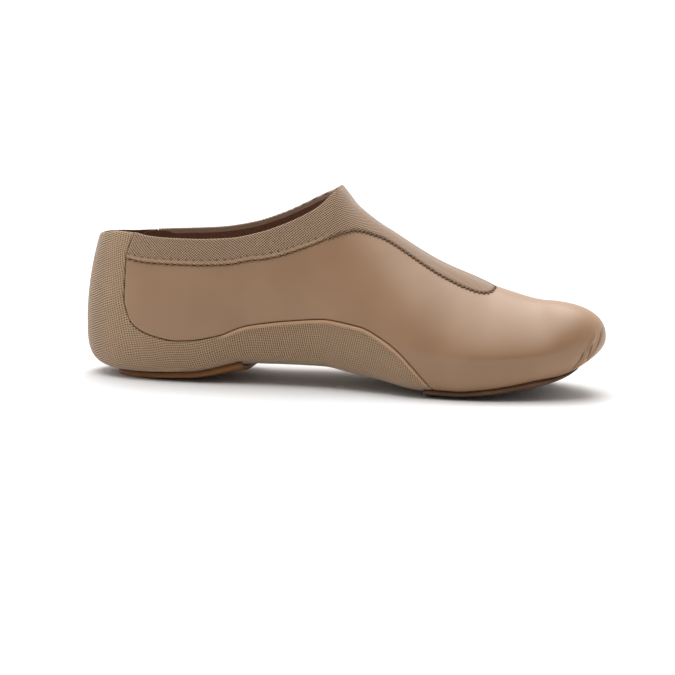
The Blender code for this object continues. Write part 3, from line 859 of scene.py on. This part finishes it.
class Sheet:
    """A sheet on the form that is then given its wall."""

    EDGE_STEPS = (0.0, 0.00012, 0.0003, 0.0006, 0.0011, 0.0018)

    def __init__(self, last: Last) -> None:
        """Starts an empty sheet.

        Args:
            last: the form that it lies on.
        """
        self.last = last
        self.mesh = bmesh.new()
        layers = self.mesh.verts.layers.float
        # the last layer is the mark: plain trims, and on the leather painted shade in the pleats
        self.names = ("side", "turn", "share", "lift", "border", "trim_and_shade")
        self.layers = {name: layers.new(name) for name in self.names}

    def _rows(self, length: Array, count: int, fine: tuple[bool, bool]) -> Array:
        """Distances of the rows from the lower line, closer together at the edges that show."""
        low = np.array(self.EDGE_STEPS if fine[0] else (0.0,))
        high = np.array(self.EDGE_STEPS if fine[1] else (0.0,))
        shrink = np.minimum(1.0, 0.45 * length / max(low[-1], high[-1], 1e-6))
        start, end = shrink * low[-1], length - shrink * high[-1]
        inner = [start + (end - start) * i / count for i in range(1, count)]
        rows = [shrink * d for d in low] + inner + [length - shrink * d for d in reversed(high)]
        return np.array(rows)

    def block(self, turns: Array, lines: tuple[SideLine, SideLine], count: int,
              fine: tuple[bool, bool] = (False, False), ends: tuple[bool, bool] = (False, False)) -> None:
        """Adds one grid on each side between two lines.

        Args:
            turns: the grid's columns.
            lines: lower and upper line.
            count: rows apart from those at fine edges.
            fine: whether the lower and the upper line are edges that show.
            ends: whether the first and the last column are edges that show.
        """
        last, layers = self.last, self.layers
        for side in Side:
            low, high = lines[0](side, turns), lines[1](side, turns)
            high = np.maximum(high, low)
            girth = last.girth(side, turns)
            length = (high - low) * girth
            rows = self._rows(length, count, fine)
            run = last.run(side, turns)
            far = np.full(turns.shape, 1.0)
            first = np.minimum(far, run - run[0] if ends[0] else far)
            border = np.minimum(first, run[-1] - run if ends[1] else far)
            columns, steps = len(turns) - 1, len(rows) - 1
            grid = bmesh.ops.create_grid(self.mesh, x_segments=columns, y_segments=steps, size=0.5)
            near = np.broadcast_to(border, rows.shape)
            near = np.minimum(near, rows) if fine[0] else near
            near = (np.minimum(near, length - rows) if fine[1] else near).tolist()
            share, turn = (low + rows / girth).tolist(), turns.tolist()
            for vert in grid["verts"]:
                i = round((vert.co.x + 0.5) * columns)
                j = round((vert.co.y + 0.5) * steps)
                vert[layers["side"]] = side
                vert[layers["turn"]] = turn[i]
                vert[layers["share"]] = share[j][i]
                vert[layers["border"]] = near[j][i]

    def read(self, *names: str) -> Array:
        """Values of one layer, or a row of values for each of several."""
        rows = np.array([[vert[self.layers[name]] for vert in self.mesh.verts] for name in names])
        return rows if len(names) > 1 else rows[0]

    def write(self, name: str, values: Array) -> None:
        """Sets the values of one layer."""
        layer = self.layers[name]
        for vert, value in zip(self.mesh.verts, values.tolist()):
            vert[layer] = value

    def raise_by(self, height: Array | float) -> None:
        """Lifts the sheet off the form."""
        self.write("lift", self.read("lift") + height)

    def above(self, line: SideLine) -> Array:
        """Distance of each point above a line, round the rib."""
        side, turn, share = self.read("side", "turn", "share")
        return (share - self.last.own(line, side, turn)) * self.last.own(self.last.girth, side, turn)

    def place(self) -> Array:
        """Puts each point on the form at its lift and returns the points."""
        points = self.last.skin(*self.read("side", "turn", "share", "lift"))
        for vert, point in zip(self.mesh.verts, points.tolist()):
            vert.co = point
        return points

    def merge(self) -> None:
        """Joins the blocks."""
        self.place()
        bmesh.ops.remove_doubles(self.mesh, verts=self.mesh.verts, dist=0.02 * MM)

    def round_edges(self, radius: float) -> None:
        """Lowers the sheet towards the edges that show, as a turned edge does."""
        self.raise_by(-radius * rounding(self.read("border"), radius))

    def fold(self, folds: Sequence[Fold]) -> None:
        """Raises soft ridges and presses soft troughs into the sheet, and darkens troughs with painted shade
        where a fold asks for it.
        """
        points = self.place()
        lift, trim_and_shade = self.read("lift", "trim_and_shade")
        for one in folds:
            side, turn, share = (np.array(values, float) for values in zip(*one.path))
            line = self.last.skin(side, turn, share)
            lengths = np.concatenate(([0.0], np.cumsum(np.linalg.norm(np.diff(line, axis=0), axis=1))))
            nearest = np.full(len(points), 1.0)
            place = np.zeros(len(points))
            for k in range(len(line) - 1):
                step = line[k + 1] - line[k]
                s = np.clip((points - line[k]) @ step / (step @ step), 0, 1)
                distance = np.linalg.norm(points - line[k] - s[:, None] * step, axis=1)
                closer = distance < nearest
                nearest = np.where(closer, distance, nearest)
                place = np.where(closer, lengths[k] + s * (lengths[k + 1] - lengths[k]), place)
            fade = ease(place, 0.0, one.fade) * ease(lengths[-1] - place, 0.0, one.fade)
            bend = np.exp(-(nearest / one.width) ** 2) * fade
            lift += one.height * bend
            # painted shade: the fold's last value darkens its trough through the piece's mark
            trim_and_shade = np.maximum(trim_and_shade, one.painted_shade * bend ** 2)
        self.write("lift", lift)
        self.write("trim_and_shade", trim_and_shade)

    def wall(self, depth: float, floor: bool = False) -> None:
        """Adds the inner face and the rims.

        Args:
            depth: distance of the inner face inside the form.
            floor: whether nothing may reach below the floor.
        """
        made = bmesh.ops.extrude_face_region(self.mesh, geom=self.mesh.faces[:], use_keep_orig=True)
        fresh = {item for item in made["geom"] if isinstance(item, bmesh.types.BMVert)}
        inner = np.array([vert in fresh for vert in self.mesh.verts])
        self.write("lift", np.where(inner, -depth, self.read("lift")))
        self.place()
        for face in self.mesh.faces:
            face.material_index = int(all(vert in fresh for vert in face.verts))
        if floor:
            for vert in self.mesh.verts:
                vert.co.z = max(vert.co.z, 0.0)

    def finish(self, name: str, finishes: Sequence[Material], slot: str, node: str) -> Piece:
        """Maps the sheet, closes it and makes it a piece that rides on the shoe.

        Args:
            name: the piece's name.
            finishes: materials of the outer and the inner face.
            slot: not used.
            node: the solid that it stands for, or an empty name.

        Returns:
            The piece.
        """
        run = self.last.own(self.last.run, *self.read("side", "turn"))
        climb = self.above(self.last.edge_line)
        uv = self.mesh.loops.layers.uv.new("sheet")
        self.mesh.verts.index_update()
        for face in self.mesh.faces:
            face.smooth = True
            for loop in face.loops:
                loop[uv].uv = (run[loop.vert.index], climb[loop.vert.index])
        layers = self.mesh.verts.layers.float
        for kind in self.names[:-1]:
            layers.remove(layers[kind])
        bmesh.ops.recalc_face_normals(self.mesh, faces=self.mesh.faces)
        return make_piece(self.mesh, name, finishes, (node,) if node else ())


def make_piece(mesh: Mesh, name: str, finishes: Sequence[Material],
               nodes: Sequence[str] = ()) -> Piece:
    """Turns a bmesh into a piece that rides on the shoe.

    Args:
        mesh: the finished shape, which is freed.
        name: the piece's name.
        finishes: its materials in order.
        nodes: the solids that it stands for.

    Returns:
        The piece.
    """
    data = bpy.data.meshes.new(name)
    mesh.to_mesh(data)
    mesh.free()
    for finish in finishes:
        data.materials.append(finish)
    piece = bpy.data.objects.new(name, data)
    bpy.context.collection.objects.link(piece)
    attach(piece, "root")
    if nodes:
        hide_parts(*nodes)
    LOG.info("%s: %d faces", name, len(data.polygons))
    return piece


def stations(*runs: tuple[float, float, int]) -> Array:
    """Columns between places, each run with its own number of steps."""
    parts = [np.linspace(start, end, count, endpoint=False) for start, end, count in runs]
    return np.concatenate(parts + [np.array([runs[-1][1]])])


def with_places(turns: Array, *places: float) -> Array:
    """Columns with more places among them, in place of any that lie too near."""
    near = 0.0004
    kept = [t for t in turns if all(abs(t - p) > near for p in places)]
    return np.array(sorted(kept + list(places)))


def fine_start(turns: Array, steps: Sequence[float], length: float) -> Array:
    """Columns with more of them just after the first, for a rounded edge."""
    added = turns[0] + np.array(steps[1:]) / length
    rest = turns[turns > added[-1] + 0.001]
    return np.concatenate((turns[:1], added, rest))


def fine_end(turns: Array, steps: Sequence[float], length: float) -> Array:
    """Columns with more of them just before the last."""
    return 1 - fine_start(1 - turns[::-1], steps, length)[::-1]


@dataclass
class SeamPath:
    """An evenly stepped line on the form, with its directions."""

    points: Array
    along: Array
    out: Array

    @classmethod
    def trace(cls, last: Last, runs: Sequence[tuple[int, Array, Array]], step: float,
              lift: float) -> "SeamPath":
        """Follows a line over one or both sides.

        Args:
            last: the form.
            runs: side, turns and shares of each stretch, in order.
            step: distance between points.
            lift: height over the form.

        Returns:
            The line.
        """
        points = np.concatenate([last.skin(side, t, s, lift) for side, t, s in runs])
        out = np.concatenate([last.normal(side, t, s) for side, t, s in runs])
        lengths = np.concatenate(([0.0], np.cumsum(np.linalg.norm(np.diff(points, axis=0), axis=1))))
        count = max(2, round(lengths[-1] / step))
        places = np.linspace(0, lengths[-1], count + 1)
        even = np.stack([np.interp(places, lengths, points[:, k]) for k in range(3)], 1)
        normal = np.stack([np.interp(places, lengths, out[:, k]) for k in range(3)], 1)
        normal /= np.linalg.norm(normal, axis=1, keepdims=True)
        along = np.gradient(even, axis=0)
        along /= np.linalg.norm(along, axis=1, keepdims=True)
        return cls(even, along, normal)

    def across(self) -> Array:
        """Direction across the line, on the form."""
        return np.cross(self.out, self.along)


def lay_tube(mesh: Mesh, path: SeamPath, half_width: float, height: float, sides: int = 8) -> None:
    """Lays a flattened round thread along a path.

    Args:
        mesh: where it goes.
        path: its middle line.
        half_width: half its width on the form.
        height: half its thickness.
        sides: faces round it.
    """
    steps = len(path.points) - 1
    grid = bmesh.ops.create_grid(mesh, x_segments=steps, y_segments=sides, size=0.5)
    across = path.across()
    for vert in grid["verts"]:
        i = round((vert.co.x + 0.5) * steps)
        angle = (vert.co.y + 0.5) * 2 * math.pi
        offset = across[i] * math.cos(angle) * half_width + path.out[i] * math.sin(angle) * height
        vert.co = path.points[i] + offset
    bmesh.ops.remove_doubles(mesh, verts=grid["verts"], dist=0.005 * MM)
    rims = [edge for edge in mesh.edges if edge.is_boundary]
    bmesh.ops.holes_fill(mesh, edges=rims, sides=sides)


def lay_stitches(mesh: Mesh, path: SeamPath, size: tuple[float, float, float],
                 lean: float = 0.0, shift: float = 0.0) -> None:
    """Lays one small rounded stitch at each point of a path.

    Args:
        mesh: where they go.
        path: its points are the stitches' middles.
        size: length, width and thickness of a stitch.
        lean: turn away from the path's direction, in degrees.
        shift: distance off the path, across it.
    """
    across = path.across()
    for point, along, side, out in zip(path.points, path.along, across, path.out):
        turned = Matrix.Rotation(math.radians(lean), 3, Vector(out))
        axes = Matrix((turned @ Vector(along), turned @ Vector(side), Vector(out))).transposed().to_4x4()
        place = Matrix.Translation(Vector(point + side * shift))
        scale = Matrix.Diagonal((size[0] / 2, size[1] / 2, size[2] / 2, 1.0))
        bmesh.ops.create_uvsphere(mesh, u_segments=8, v_segments=6, radius=1.0, matrix=place @ axes @ scale)


@dataclass
class LeatherUpper:
    """Vamp and both quarters in one piece of leather, with the pleats round the toe."""

    last: Last
    wall: float = 0.0016
    turned_edge: float = 0.0007
    sole_reach: float = 0.006
    tip_rows: tuple[float, ...] = (0.0, 0.0006, 0.0014, 0.0026)
    near: float = 0.0001

    def folds(self) -> list[Fold]:
        """Pleats that draw the leather in round the toe; the troughs' last value darkens them with painted
        shade.
        """
        inner, outer = Side.INNER, Side.OUTER
        deep = [(inner, .9475, .515), (inner, .9430, .477), (inner, .9425, .437), (inner, .9430, .400),
                (inner, .9440, .365)]
        back = [(inner, .9300, .470), (inner, .9275, .443), (inner, .9238, .393), (inner, .9200, .360),
                (inner, .9180, .300), (inner, .9160, .260)]
        crest = [(inner, .9660, .600), (inner, .9513, .543), (inner, .9420, .503), (inner, .9350, .450),
                 (inner, .9330, .400), (inner, .9290, .350), (inner, .9260, .290)]
        rim = [(inner, .9938, .587), (inner, .9763, .553), (inner, .9663, .507), (inner, .9587, .463),
               (inner, .9560, .410), (inner, .9540, .350)]
        ruck = [(inner, .9560, .470), (inner, .9500, .430), (inner, .9490, .380), (inner, .9480, .330)]
        small = [(outer, .9700, .560), (outer, .9560, .500), (outer, .9500, .420), (outer, .9480, .330)]
        # the last value of a trough is its painted shade
        return [
            Fold(deep, 0.45 * MM, -1.30 * MM, 2.5 * MM, 1.0),
            Fold(back, 0.45 * MM, -1.25 * MM, 2.5 * MM, 0.9),
            Fold(crest, 0.80 * MM, 0.70 * MM, 5 * MM),
            Fold(rim, 0.45 * MM, -0.70 * MM, 4 * MM, 0.6),
            Fold(ruck, 0.40 * MM, 0.50 * MM, 2.5 * MM),
            Fold(small, 0.50 * MM, -0.80 * MM, 4 * MM, 0.6),
        ]

    def build(self, leather: Material, lining: Material) -> Piece:
        """Makes the piece."""
        last = self.last
        sheet = Sheet(last)
        gap = last.gap
        start = last.turn_at(HEEL_SEAM) + gap / 2 / last.length
        ball = BALL_SEAM + gap / last.length
        turns = stations((start, 0.20, 14), (0.20, 0.7, 76), (0.7, GORE_END, 26), (GORE_END, 0.82, 8),
                         (0.82, 0.905, 26), (0.905, 0.985, 110), (0.985, 1.0, 14))
        turns = fine_start(turns, Sheet.EDGE_STEPS, last.length)
        tip = GORE_END + gap / last.length
        turns = with_places(turns, ball, *(tip - back for back in self.tip_rows))
        low = lambda side, t: last.arch_line(side, t, gap)
        high = lambda side, t: last.gore_line(side, t, gap)
        sheet.block(turns, (low, high), 54, fine=(True, True), ends=(True, False))
        under = turns[turns >= ball]
        sheet.block(under, (last.keel_line, low), 6)
        self._soften_sole_edge(sheet, ball)
        sheet.merge()
        sheet.round_edges(self.turned_edge)
        sheet.fold(self.folds())
        sheet.wall(self.wall)
        return sheet.finish("leather_upper", (leather, lining), "leather", "upper")

    def _soften_sole_edge(self, sheet: Sheet, ball: float) -> None:
        """Keeps the leather whole where it turns under the sole and over the closed toe."""
        turn, share, border = sheet.read("turn", "share", "border")
        by_sole = sheet.above(self.last.edge_line) < self.sole_reach
        tip = GORE_END + self.last.gap / self.last.length
        closed = ((turn > ball - self.near) & by_sole) | (turn > tip + self.near)
        ahead = np.clip((turn - tip) * self.last.length, 0, 1)
        near_gore = np.where((share > 0.9) & (turn > tip), ahead, 1.0)
        sheet.write("border", np.where(closed, near_gore, border))


@dataclass
class KnitPanel:
    """Stretch-knit heel and arch panel, with its folded top and rolled lip."""

    last: Last
    wall: float = 0.0014
    lip_raise: float = 0.0008
    lip_band: float = 0.0013
    lip_start: float = 0.300
    lip_fade: float = 0.030
    pad_front: float = 0.325
    pad_lap: float = 0.0050
    hem: float = 0.0022
    hem_drop: float = 0.0009
    turned_edge: float = 0.0007

    def build(self, knit: Material, lining: Material) -> Piece:
        """Makes the piece."""
        last = self.last
        sheet = Sheet(last)
        seam = last.turn_at(HEEL_SEAM) - last.gap / 2 / last.length
        window = self.pad_front - self.pad_lap / last.length
        heel = fine_end(stations((0.0, seam, 44)), Sheet.EDGE_STEPS, last.length)
        rest = stations((seam, 0.20, 22), (0.20, BALL_SEAM, 140))
        turns = with_places(np.concatenate((heel[:-1], rest)), window)
        under = turns[turns >= window - 1e-9]
        sheet.block(under, (last.middle_line, last.keel_line), 5)
        sheet.block(turns, (last.keel_line, last.edge_line), 6)
        sheet.block(turns, (last.edge_line, last.arch_line), 26, fine=(False, True))
        sheet.block(heel, (last.arch_line, last.top_line), 30, fine=(False, True), ends=(False, True))
        self._open_heel(sheet, seam)
        sheet.merge()
        self._roll_lip(sheet)
        self._fold_hem(sheet)
        sheet.round_edges(self.turned_edge)
        sheet.wall(self.wall)
        return sheet.finish("knit_heel_and_arch", (knit, lining), "knit", "heel_arch_knit")

    def _open_heel(self, sheet: Sheet, seam: float) -> None:
        """Keeps the knit whole behind the seam, where the lower block meets the upper one."""
        lower = (sheet.read("turn") < seam - 1e-6) & (sheet.above(self.last.arch_line) <= 0.0001 * MM)
        sheet.write("border", np.where(lower, 1.0, sheet.read("border")))

    def _fold_hem(self, sheet: Sheet) -> None:
        """Rounds the folded hem along the top of the heel."""
        sheet.raise_by(-self.hem_drop * rounding(-sheet.above(self.last.top_line), self.hem))

    def _roll_lip(self, sheet: Sheet) -> None:
        """Raises the rolled lip along the leather's edge and marks it as plain cloth."""
        turn = sheet.read("turn")
        below = -sheet.above(self.last.arch_line)
        along = self.last.along_at(turn)
        reach = ease(along, self.lip_start - self.lip_fade, self.lip_start + self.lip_fade)
        reach = reach * ease(BALL_SEAM - along, 0.0, self.lip_fade)
        across = np.clip(below / self.lip_band, 0, 1.4)
        bead = np.sqrt(np.clip(1 - (across * 2 - 1) ** 2, 0, 1))
        on_lip = (below > -1e-6) & (across < 1.0)
        sheet.write("lift", np.where(on_lip, self.lip_raise * bead * reach, 0.0))
        climb = sheet.above(self.last.edge_line)
        by_pad = 0.75 * ease(3.6 * MM - climb, 0.0, 1.2 * MM)
        by_pad = by_pad * ease(0.22 - turn, 0.0, 0.02) * ease(turn, 0.05, 0.08)
        sheet.write("trim_and_shade", np.maximum(by_pad, np.where(on_lip, ease(reach, 0.0, 0.5) * 0.9, 0.0)))


@dataclass
class CollarAndGore:
    """Woven elastic collar that widens into the instep gore, with its stitching."""

    last: Last
    wall: float = 0.0022
    proud: float = 0.0005
    row: float = 0.0020
    row_width: float = 0.00045
    row_depth: float = 0.0003
    rows_end: float = 0.50
    turned_edge: float = 0.0009
    tip_rows: tuple[float, ...] = (0.0005, 0.0012)

    def build(self, elastic: Material, tape: Material) -> Piece:
        """Makes the piece."""
        last = self.last
        sheet = Sheet(last)
        start = last.turn_at(HEEL_SEAM) + last.gap / 2 / last.length
        turns = stations((start, 0.20, 26), (0.20, COLLAR_FRONT, 90), (COLLAR_FRONT, GORE_TIP, 76),
                         (GORE_TIP, GORE_END, 40))
        turns = fine_start(turns, Sheet.EDGE_STEPS, last.length)
        turns = with_places(turns, *(GORE_END - back for back in self.tip_rows))
        sheet.block(turns, (last.gore_line, last.top_line), 28, fine=(True, True), ends=(True, False))
        self._join_over_instep(sheet)
        sheet.merge()
        above = sheet.above(last.gore_line)
        sewn = ease(self.rows_end - sheet.read("turn"), 0.0, 0.03)
        press = self.row_depth * sewn * np.exp(-((above - self.row) / self.row_width) ** 2)
        sheet.raise_by(self.proud - press)
        sheet.write("trim_and_shade", 0.6 * sewn * ease(self.row - above, 0.0, 0.4 * MM))
        sheet.round_edges(self.turned_edge)
        sheet.wall(self.wall - self.proud)
        return sheet.finish("elastic_collar_and_gore", (elastic, tape), "elastic", "collar_gore")

    def _join_over_instep(self, sheet: Sheet) -> None:
        """Keeps the gore whole over the ridge, where its two halves meet."""
        turn, share, border = sheet.read("turn", "share", "border")
        from_top = np.abs(turn - COLLAR_FRONT) * self.last.length
        over = turn > COLLAR_FRONT - 1e-6
        near = np.minimum(sheet.above(self.last.gore_line), np.where(share > 0.97, from_top, 1.0))
        near = np.minimum(near, (GORE_END - turn) * self.last.length)
        sheet.write("border", np.where(over, np.maximum(near, 0.0), border))


@dataclass
class ShoeLining:
    """Brushed lining inside, from the insole to the tape under the topline and over the closed vamp."""

    last: Last
    inside: float = 0.00175
    thick: float = 0.0003
    below_top: float = 0.0021
    below_seam: float = 0.00025
    seam_reach: float = 0.02

    def build(self, cloth: Material) -> Piece:
        """Makes the piece."""
        last = self.last
        sheet = Sheet(last)
        turns = stations((0.0, 0.20, 80), (0.20, COLLAR_FRONT, 60), (COLLAR_FRONT, 0.82, 50), (0.82, 1.0, 40))
        sheet.block(turns, (last.edge_line, self._top), 30, fine=(False, True))
        sheet.merge()
        sheet.raise_by(-self.inside)
        sheet.wall(self.inside + self.thick)
        return sheet.finish("brushed_lining", (cloth, cloth), "lining", "")

    def _top(self, side: int, turn: Array) -> Array:
        """Upper edge of the lining."""
        by_seam = np.exp(-(((turn - self.last.turn_at(HEEL_SEAM)) / self.seam_reach) ** 4))
        below = self.below_top + (self.below_seam - self.below_top) * by_seam
        top = self.last.top_line(side, turn) - below / self.last.girth(side, turn)
        return np.where(self.last.along_at(turn) < COLLAR_FRONT, top, 1.0)


@dataclass
class Bottom:
    """Forefoot sole, heel pad and insole."""

    last: Last
    sole_back: float = 0.683
    pad_front: float = 0.325
    insole_thick: float = 0.0015
    upper_wall: float = 0.0016
    cut_edge: float = 0.0004
    drawn_in: float = 0.2
    thinned: float = 0.6

    def _rim(self, side: int, turn: Array) -> Array:
        """The sole's cut edge, drawn in under the toe."""
        return self.last.edge_line(side, turn) * (1 - self.drawn_in * ease(turn, 0.85, 0.95))

    def _slab(self, turns: Array, outside: float, thick: float, name: str, finish: Material,
              slot: str, node: str, floor: bool) -> Piece:
        """Makes one layer under or in the shoe."""
        sheet = Sheet(self.last)
        sheet.block(turns, (self.last.middle_line, self._rim), 24, fine=(False, True))
        sheet.merge()
        thin = self.thinned * thick * ease(sheet.read("turn"), 0.86, 0.96) if floor else 0.0
        sheet.raise_by(outside - thin)
        sheet.round_edges(self.cut_edge)
        sheet.wall(thick - outside, floor)
        return sheet.finish(name, (finish,), slot, node)

    def build(self, sole: Material, pad: Material, lining: Material) -> None:
        """Makes the three layers."""
        last = self.last
        fore = stations((self.sole_back, 0.82, 50), (0.82, 1.0, 70))
        heel = stations((0.0, 0.20, 60), (0.20, self.pad_front, 40))
        whole = stations((0.0, 0.20, 40), (0.20, 0.82, 80), (0.82, 1.0, 40))
        under = -self.upper_wall - last.gap
        self._slab(fore, last.gap + last.sole_thick, last.sole_thick, "sheet_forefoot_sole", sole, "sole",
                   "forefoot_sole", True)
        self._slab(heel, last.gap + last.heel_thick, last.heel_thick, "rubber_heel_pad", pad, "pad",
                   "heel_pad", True)
        self._slab(whole, under, self.insole_thick, "sock_lining", lining, "lining", "insole", False)


@dataclass
class Stitching:
    """All sewn lines: two rows on the collar and the overlocked edge of the gore."""

    last: Last
    rows: tuple = (
        (-0.1 * MM, 3.1 * MM, 0.25 * MM, (2.0 * MM, 1.0 * MM, 0.8 * MM)),
        (2.0 * MM, 3.5 * MM, 0.25 * MM, (1.2 * MM, 0.7 * MM, 0.5 * MM)),
    )
    row_start: float = 0.004
    row_end: float = 0.492
    gore_start: float = 0.488
    gore_bend: float = 0.74
    cord: tuple[float, float] = (0.3 * MM, 0.4 * MM)
    tooth: tuple[float, float, float] = (1.0 * MM, 1.7 * MM, 1.0 * MM)
    tooth_pitch: float = 2.0 * MM
    tooth_lean: float = 25.0
    tooth_shift: float = -0.5 * MM

    def collar_rows(self, thread: Material) -> Piece:
        """Two rows of stitches along the collar's lower edge."""
        last = self.last
        mesh = bmesh.new()
        for side in Side:
            turns = np.linspace(last.turn_at(HEEL_SEAM) + self.row_start, self.row_end, 300)
            for above, pitch, lift, size in self.rows:
                shares = last.gore_line(side, turns) + above / last.girth(side, turns)
                path = SeamPath.trace(last, [(side, turns, shares)], pitch, lift)
                lay_stitches(mesh, path, size)
        return make_piece(mesh, "collar_stitches", (thread,))

    def gore_overlock(self, thread: Material) -> Piece:
        """Dark overlocked thread round the gore, with its teeth over the leather."""
        last = self.last
        mesh = bmesh.new()
        bend = GORE_END - (GORE_END - self.gore_bend) * np.cos(np.linspace(0, math.pi / 2, 200))
        ahead = np.concatenate((np.linspace(self.gore_start, self.gore_bend, 300), bend))
        runs = [
            (side, turns, last.gore_line(side, turns, last.gap / 2))
            for side, turns in ((Side.INNER, ahead), (Side.OUTER, ahead[::-1]))
        ]
        lay_tube(mesh, SeamPath.trace(last, runs, 0.5 * MM, 0.2 * MM), *self.cord)
        teeth = SeamPath.trace(last, runs, self.tooth_pitch, 0.1 * MM)
        lay_stitches(mesh, teeth, self.tooth, self.tooth_lean, self.tooth_shift)
        return make_piece(mesh, "gore_overlock", (thread,))


@dataclass
class Studio:
    """Camera, floor and soft light.

    A softbox is its name, its width in degrees, its strength and the direction that it shines from.
    """

    azimuth: float = 12.0
    elevation: float = 8.0
    roll: float = 0.6
    distance: float = 1.2
    scale: float = 0.0004531
    target: tuple[float, float, float] = (0.0, -0.0004, 0.040)
    target_pixel: tuple[float, float] = (343.8, 292.9)
    frame_pixels: float = 675.0
    sensor: float = 36.0
    softboxes: tuple = (
        ("overhead_back", 34.0, 0.42, (-0.05, 0.62, 1.0)),
        ("overhead", 50.0, 0.62, (-0.12, -0.04, 1.0)),
    )
    room_front: float = 0.12
    room_back: float = 1.08
    room_left: float = 0.42

    def camera(self) -> None:
        """Sets the camera at the photographed angle."""
        az, el, roll = (math.radians(v) for v in (self.azimuth, self.elevation, self.roll))
        right = Vector((math.cos(az), math.sin(az), 0))
        back = Vector((math.sin(az) * math.cos(el), -math.cos(az) * math.cos(el), math.sin(el)))
        up = back.cross(right)
        turned = Matrix.Rotation(roll, 3, back)
        right, up = turned @ right, turned @ up
        middle = self.frame_pixels / 2
        across = (self.target_pixel[0] - middle) * self.scale
        above = (middle - self.target_pixel[1]) * self.scale
        target = Vector(self.target)
        place = target + back * self.distance
        aim = target - right * across - up * above
        towards = (place - aim).normalized()
        right = (right - towards * right.dot(towards)).normalized()
        up = towards.cross(right)
        data = bpy.data.cameras.new("camera")
        data.sensor_width = self.sensor
        data.lens = self.sensor * self.distance / (self.frame_pixels * self.scale)
        camera = bpy.data.objects.new("camera", data)
        axes = Matrix((right, up, towards)).transposed().to_4x4()
        camera.matrix_world = Matrix.Translation(place) @ axes
        bpy.context.collection.objects.link(camera)
        bpy.context.scene.camera = camera

    def floor(self, paper: Material) -> None:
        """Lays the pale floor."""
        mesh = bmesh.new()
        bmesh.ops.create_grid(mesh, x_segments=4, y_segments=4, size=6.0)
        data = bpy.data.meshes.new("floor")
        mesh.to_mesh(data)
        mesh.free()
        data.materials.append(paper)
        floor = bpy.data.objects.new("floor", data)
        bpy.context.collection.objects.link(floor)

    def lamps(self) -> None:
        """Hangs two soft lights, one right overhead and one behind the shoe."""
        for name, angle, power, direction in self.softboxes:
            data = bpy.data.lights.new(name, "SUN")
            data.angle = math.radians(angle)
            data.energy = power * math.pi
            light = bpy.data.objects.new(name, data)
            light.rotation_euler = Vector(direction).to_track_quat("Z", "Y").to_euler()
            bpy.context.collection.objects.link(light)

    def room(self) -> None:
        """Lights the room evenly behind the shoe and dims it on the camera's side."""
        world = bpy.data.worlds.new("studio")
        world.use_nodes = True
        tree = world.node_tree
        direction = add_node(tree, "TexCoord")
        behind = add_node(tree, "SeparateXYZ", {0: direction}, 1)
        levels = {0: behind, 1: -0.75, 2: 0.75, 3: self.room_front, 4: self.room_back}
        behind = add_node(tree, "MapRange", levels, interpolation_type="SMOOTHSTEP")
        left = add_node(tree, "SeparateXYZ", {0: direction}, 0)
        left = add_node(tree, "MapRange", {0: left, 1: 0.2, 2: -0.9, 4: self.room_left},
                        interpolation_type="SMOOTHSTEP")
        behind = add_node(tree, "Math", {0: behind, 1: left}, operation="ADD")
        shade = tree.nodes["Background"]
        shade.inputs["Color"].default_value = (1.0, 1.0, 1.0, 1.0)
        tree.links.new(behind, shade.inputs["Strength"])
        bpy.context.scene.world = world

    def build(self) -> None:
        """Sets up the studio."""
        self.camera()
        self.floor(PaperSweep().build())
        self.lamps()
        self.room()
        bpy.context.scene.view_settings.view_transform = "Standard"


def main() -> None:
    """Builds every piece."""
    logging.basicConfig(level=logging.INFO, format="%(message)s")
    last = Last()
    leather = SatinLeather().build()
    knit = StretchKnit().build()
    elastic = TwillElastic().build()
    lining = ClothSurface("brushed_lining", "#80583f", "#946a50").build()
    tape = ClothSurface("collar_tape", "#c4ad9a", "#d0baa8", 0.5 * MM).build()
    thread = SewingThread().build()
    sole = SheetRubber("sole_sheet", "#5c402b", "#6e4f37").build()
    pad = SheetRubber("heel_rubber", "#85582c", "#906236").build()
    LeatherUpper(last).build(leather, lining)
    KnitPanel(last).build(knit, lining)
    CollarAndGore(last).build(elastic, tape)
    ShoeLining(last).build(lining)
    Bottom(last).build(sole, pad, lining)
    stitching = Stitching(last)
    stitching.collar_rows(thread)
    stitching.gore_overlock(thread)
    Studio().build()
    bpy.context.view_layer.update()


if __name__ == "__main__":
    main()
